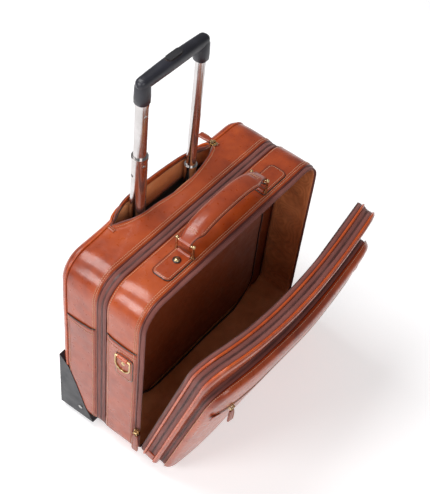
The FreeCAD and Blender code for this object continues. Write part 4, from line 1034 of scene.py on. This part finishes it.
def same_way(inner, points):
    """For each point, the place on a smaller outline that lies the same way from that outline's middle."""
    x, z, *_ = inner.at(inner.around(2.0)).T
    middle = (inner.low + inner.high) / 2
    ways = np.arctan2(z - middle, x)
    want = np.arctan2(points[:, 2] - middle, points[:, 0])
    x, z = (np.interp(want, ways, values, period=2 * pi) for values in (x, z))
    return xyz(x, points[:, 1], z)


def pocket_face(x, z):
    """Depth of the pocket's front face: crowned across, with its padding's slackness."""
    crown = CROWN * (1 - np.clip(np.abs(x) / POCKET_HALF, 0, 1) ** 5)
    fade = np.clip((1.12 - (z - POCKET.low) / POCKET_HEIGHT) / 0.3, 0.35, 1)
    slack = 1.4 * waves(x, z, 95, 25) * np.clip(1 - np.abs(x) / POCKET_HALF, 0, 1) ** 0.5
    return POCKET_EDGE - crown * fade - slack


def pocket():
    """The outer pocket: zip gusset, rounded shoulder and a crowned face."""
    profile = ((-121.3, -1.4), (-123, -0.8), (-125.6, -1.4), (-126.5, -2.4), (-127.4, -1.4), (-130, -0.8),
               (-132.4, -1.4))
    band("pocket_tape", "flap", POCKET, profile, ["pocket_zip_tapes"], flap_place, wobble=0.3, seed=26)
    coil("pocket_zip_coil", "flap", POCKET, -1.7, [(-125.5, 0), (-127.6, 0.87)], mapper=flap_place)
    s = POCKET.around(5.0)
    x, z, *_ = POCKET.at(s).T
    shoulder = 9.0
    columns = [on(POCKET, s, -132.0, -0.6), on(POCKET, s, -133.0, 0.4)]
    face_edge = pocket_face(x, z)
    straight = np.minimum(face_edge + shoulder, -134.0)
    for share in (0.3, 0.7, 1.0):
        columns.append(on(POCKET, s, -133.5 + (straight + 133.5) * share, 0.6 + 0.9 * sin(pi * share * 0.7)))
    for angle in np.linspace(0.25, pi / 2, 6):
        y = straight - (straight - face_edge) * sin(angle)
        columns.append(on(POCKET, s, y, 0.9 - shoulder * (1 - cos(angle))))
    seam, rim = columns[3], columns[-1]
    middle = np.array([0, 0, (POCKET.low + POCKET.high) / 2])
    for share in (0.97, 0.92, 0.85, 0.76, 0.66, 0.55, 0.43, 0.3, 0.17, 0.03):
        ring = middle + (rim - middle) * share
        ring[:, 1] = pocket_face(ring[:, 0], ring[:, 2])
        columns.append(ring)
    skin("pocket_leather", "flap", LEATHER, "front_pocket", flap_place(np.stack(columns, 1)), 2.0)
    Shape().sew(flap_place(seam), opened(outward(POCKET, s))).build("pocket_stitches", "flap", THREAD)


def slit_zip():
    """The zip across the pocket: two leather lips with a coil between them and stitched ends."""
    def face(x, dz, rise):
        z = np.full_like(x, SLIT_HEIGHT + dz)
        return flap_place(xyz(x, pocket_face(x, z) - rise, z))

    lips, coils, rows, ends = Shape(), Shape(), Shape(), Shape()
    x = np.linspace(-185, 185, 75)
    tooth_x = np.arange(-182, 182, 1.75)
    end_x = np.linspace(178, 192, 6)
    up, out = opened(UP), opened((0, -1, 0))
    for side in (-1, 1):
        offsets = ((1.4, 0.5), (2.6, 1.3), (5.4, 1.1), (6.6, 0.2))
        strip = np.stack([face(x, side * dz, rise) for dz, rise in offsets], 1)
        lips.sheet(strip[::side], 1.0)
        rows.sew(face(x, side * 9.0, 0.1), out)
        centre, ahead = (face(tooth_x + shift, side * 0.8, 0.6) for shift in (0, 0.5))
        coils.bricks(centre, unit(ahead - centre), up, out, (1.1, 1.5, 1.4))
        strip = np.stack([face(side * end_x, dz, 1.5) for dz in (-7.5, -4, 0, 4, 7.5)], 1)
        ends.sheet(strip[::-side], 1.3)
    lips.build("slit_zip_lips", "flap", TAPE)
    coils.build("slit_zip_coil", "flap", COIL, smooth=False)
    rows.build("slit_zip_stitches", "flap", THREAD)
    ends.build("slit_zip_ends", "flap", TRIM)


def hinge_strips():
    """The leather folds at the foot that join the sections and carry the flap."""
    for name, bodies, y0, y1, z in (
            ("flap_hinge_leather", (FRONT, "flap"), -80.0, -98.0, FOOT + 1.4),
            ("case_hinge_leather", (REAR, FRONT), 0.0, -18.0, FOOT + 0.6)):
        x, u = np.meshgrid(np.linspace(-184, 184, 50), np.linspace(0, 1, 12), indexing="ij")
        y = y0 + (y1 - y0) * u
        points = xyz(x, y, z - 1.6 * np.sin(pi * u) - 0.2 * waves(x, y, 40, 30))
        start, end = (0, (y0 + (y1 - y0) / 4) * MM, z * MM), (0, y1 * MM, z * MM)
        Shape().sheet(points, 1.6).build(name, None, TRIM, bend=(*bodies, start, end))


# ---- Zip pulls ----

PULL_WIDTH = 12.5
SLIT_PULL_FACING = (-0.1437, -0.9896, 0)


def tongue(name, body, start, end, normal, replaces):
    """A leather pull: a flat tapered tongue with a stitched border, on a brass link."""
    start, end, normal = (np.asarray(p, float) for p in (start, end, normal))
    t = np.linspace(0, 1, 12)
    path = start + (end - start) * t[:, None] + normal * (0.32 * np.sin(pi * t))[:, None]
    width = PULL_WIDTH * (0.72 + 0.28 * np.clip(t * 2.4, 0, 1)) * np.where(t > 0.93, 0.8, 1)
    Shape().strap(path, width, 2.4, normal).build(name, body, PULL, replaces)
    along = unit(end - start)
    side = np.cross(along, normal)
    rows = Shape()
    for turn in (-1, 1):
        line = path[1:-1] + side * turn * PULL_WIDTH * 0.33 + normal * 1.2
        rows.sew(line, normal, 2.4, length=1.6, width=0.4)
    rows.build(name + "_stitches", body, THREAD)
    head = start - along * 6.0
    loop = [start + side * 2.0, head + side * 1.8, head - side * 1.8, start - side * 2.0]
    Shape().rod(loop, 0.7, closed=True, up=normal).build(name + "_link", body, BRASS)


def pulls():
    """The leather pulls of the main, trolley and slit zips, each from its link to its tip."""
    for name, axis, tip, normal in (("main", 2, -1, (-1, 0, 0)), ("trolley", 1, 1, UP),
                                    ("slit", 2, -1, SLIT_PULL_FACING)):
        low, high = cad(name + "_zip_pull")
        near, far = (low, high) if tip > 0 else (high, low)
        start, end = (low + high) / 2, (low + high) / 2
        start[axis] = near[axis] + tip * 8
        end[axis] = far[axis]
        tongue(name + "_pull_leather", name + "_puller", start, end, normal, name + "_zip_pull")


# ---- Build ----

rear_shell()
rear_trim()
for flank, side_name in SIDES:
    slip_panel("rear_slip_panel_" + side_name, REAR, flank, 2.0, 56.0, 262.0, 258.0, rear_place)
    slip_panel("front_slip_panel_" + side_name, FRONT, flank, -20.5, -76.0, 275.0, 275.0, front_place)
    dring_tab(flank, side_name)
rear_zip()
front_shell()
main_zip_case()
case_lining()
divider()
front_trim()
handle()
ring_posts()
pull_grip()
well()
locks()
rear_lining()
flap_bands()
flap_panels()
pocket()
slit_zip()
hinge_strips()
pulls()

# Where a CAD node stands for both sides, one of the two pieces replaces it.
for made, node_name in (("rear_slip_panel_left", "rear_side_panels"),
                        ("front_slip_panel_left", "front_side_panels"),
                        ("handle_tab_right", "handle_tabs"),
                        ("dring_fold_left", "dring_tabs")):
    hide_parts(node_name)


# ---- Floor, light and camera ----

def floor():
    bpy.ops.mesh.primitive_plane_add(size=30, location=(0, 0, 0))
    plane = bpy.context.object
    plane.name = "floor"
    paint = bpy.data.materials.new("floor")
    paint.use_nodes = True
    inputs = paint.node_tree.nodes["Principled BSDF"].inputs
    inputs["Base Color"].default_value = (0.86, 0.86, 0.87, 1)
    inputs["Roughness"].default_value = 0.7
    inputs["Emission Color"].default_value = (1, 1, 1, 1)
    inputs["Emission Strength"].default_value = 0.42
    plane.data.materials.append(paint)


def soft_light(name, place, size, power):
    """A square lamp that looks at the middle of the case."""
    data = bpy.data.lights.new(name, "AREA")
    data.shape, data.size, data.energy = "SQUARE", size, power
    lamp = bpy.data.objects.new(name, data)
    bpy.context.scene.collection.objects.link(lamp)
    lamp.location = place
    lamp.rotation_euler = (Vector((0, -0.05, 0.25)) - Vector(place)).to_track_quat("-Z", "Y").to_euler()


def studio():
    floor()
    world = bpy.data.worlds.new("studio")
    world.use_nodes = True
    inputs = world.node_tree.nodes["Background"].inputs
    inputs["Color"].default_value = (1, 1, 1, 1)
    inputs["Strength"].default_value = 0.25
    bpy.context.scene.world = world
    soft_light("top", (-0.2, 0.9, 2.2), 1.2, 30)
    soft_light("left", (-1.9, 0.7, 1.5), 0.9, 22)
    soft_light("front", (-1.1, -1.7, 1.9), 1.3, 17)
    bpy.context.scene.view_settings.view_transform = "Standard"


def camera():
    azimuth, elevation, roll = radians(-57.63), radians(48.83), radians(7.4)
    back = Vector((sin(azimuth) * cos(elevation), -cos(azimuth) * cos(elevation), sin(elevation)))
    right = Vector((cos(azimuth), sin(azimuth), 0))
    up = back.cross(right)
    turn = Matrix((right * cos(roll) + up * sin(roll), up * cos(roll) - right * sin(roll), back)).transposed()
    data = bpy.data.cameras.new("camera")
    data.lens = 76.77
    data.sensor_width = 36
    data.clip_start, data.clip_end = 0.05, 50
    eye = bpy.data.objects.new("camera", data)
    bpy.context.scene.collection.objects.link(eye)
    eye.matrix_world = Matrix.Translation(Vector((-877.4, -604.0, 1492.2)) * MM) @ turn.to_4x4()
    bpy.context.scene.camera = eye


studio()
camera()
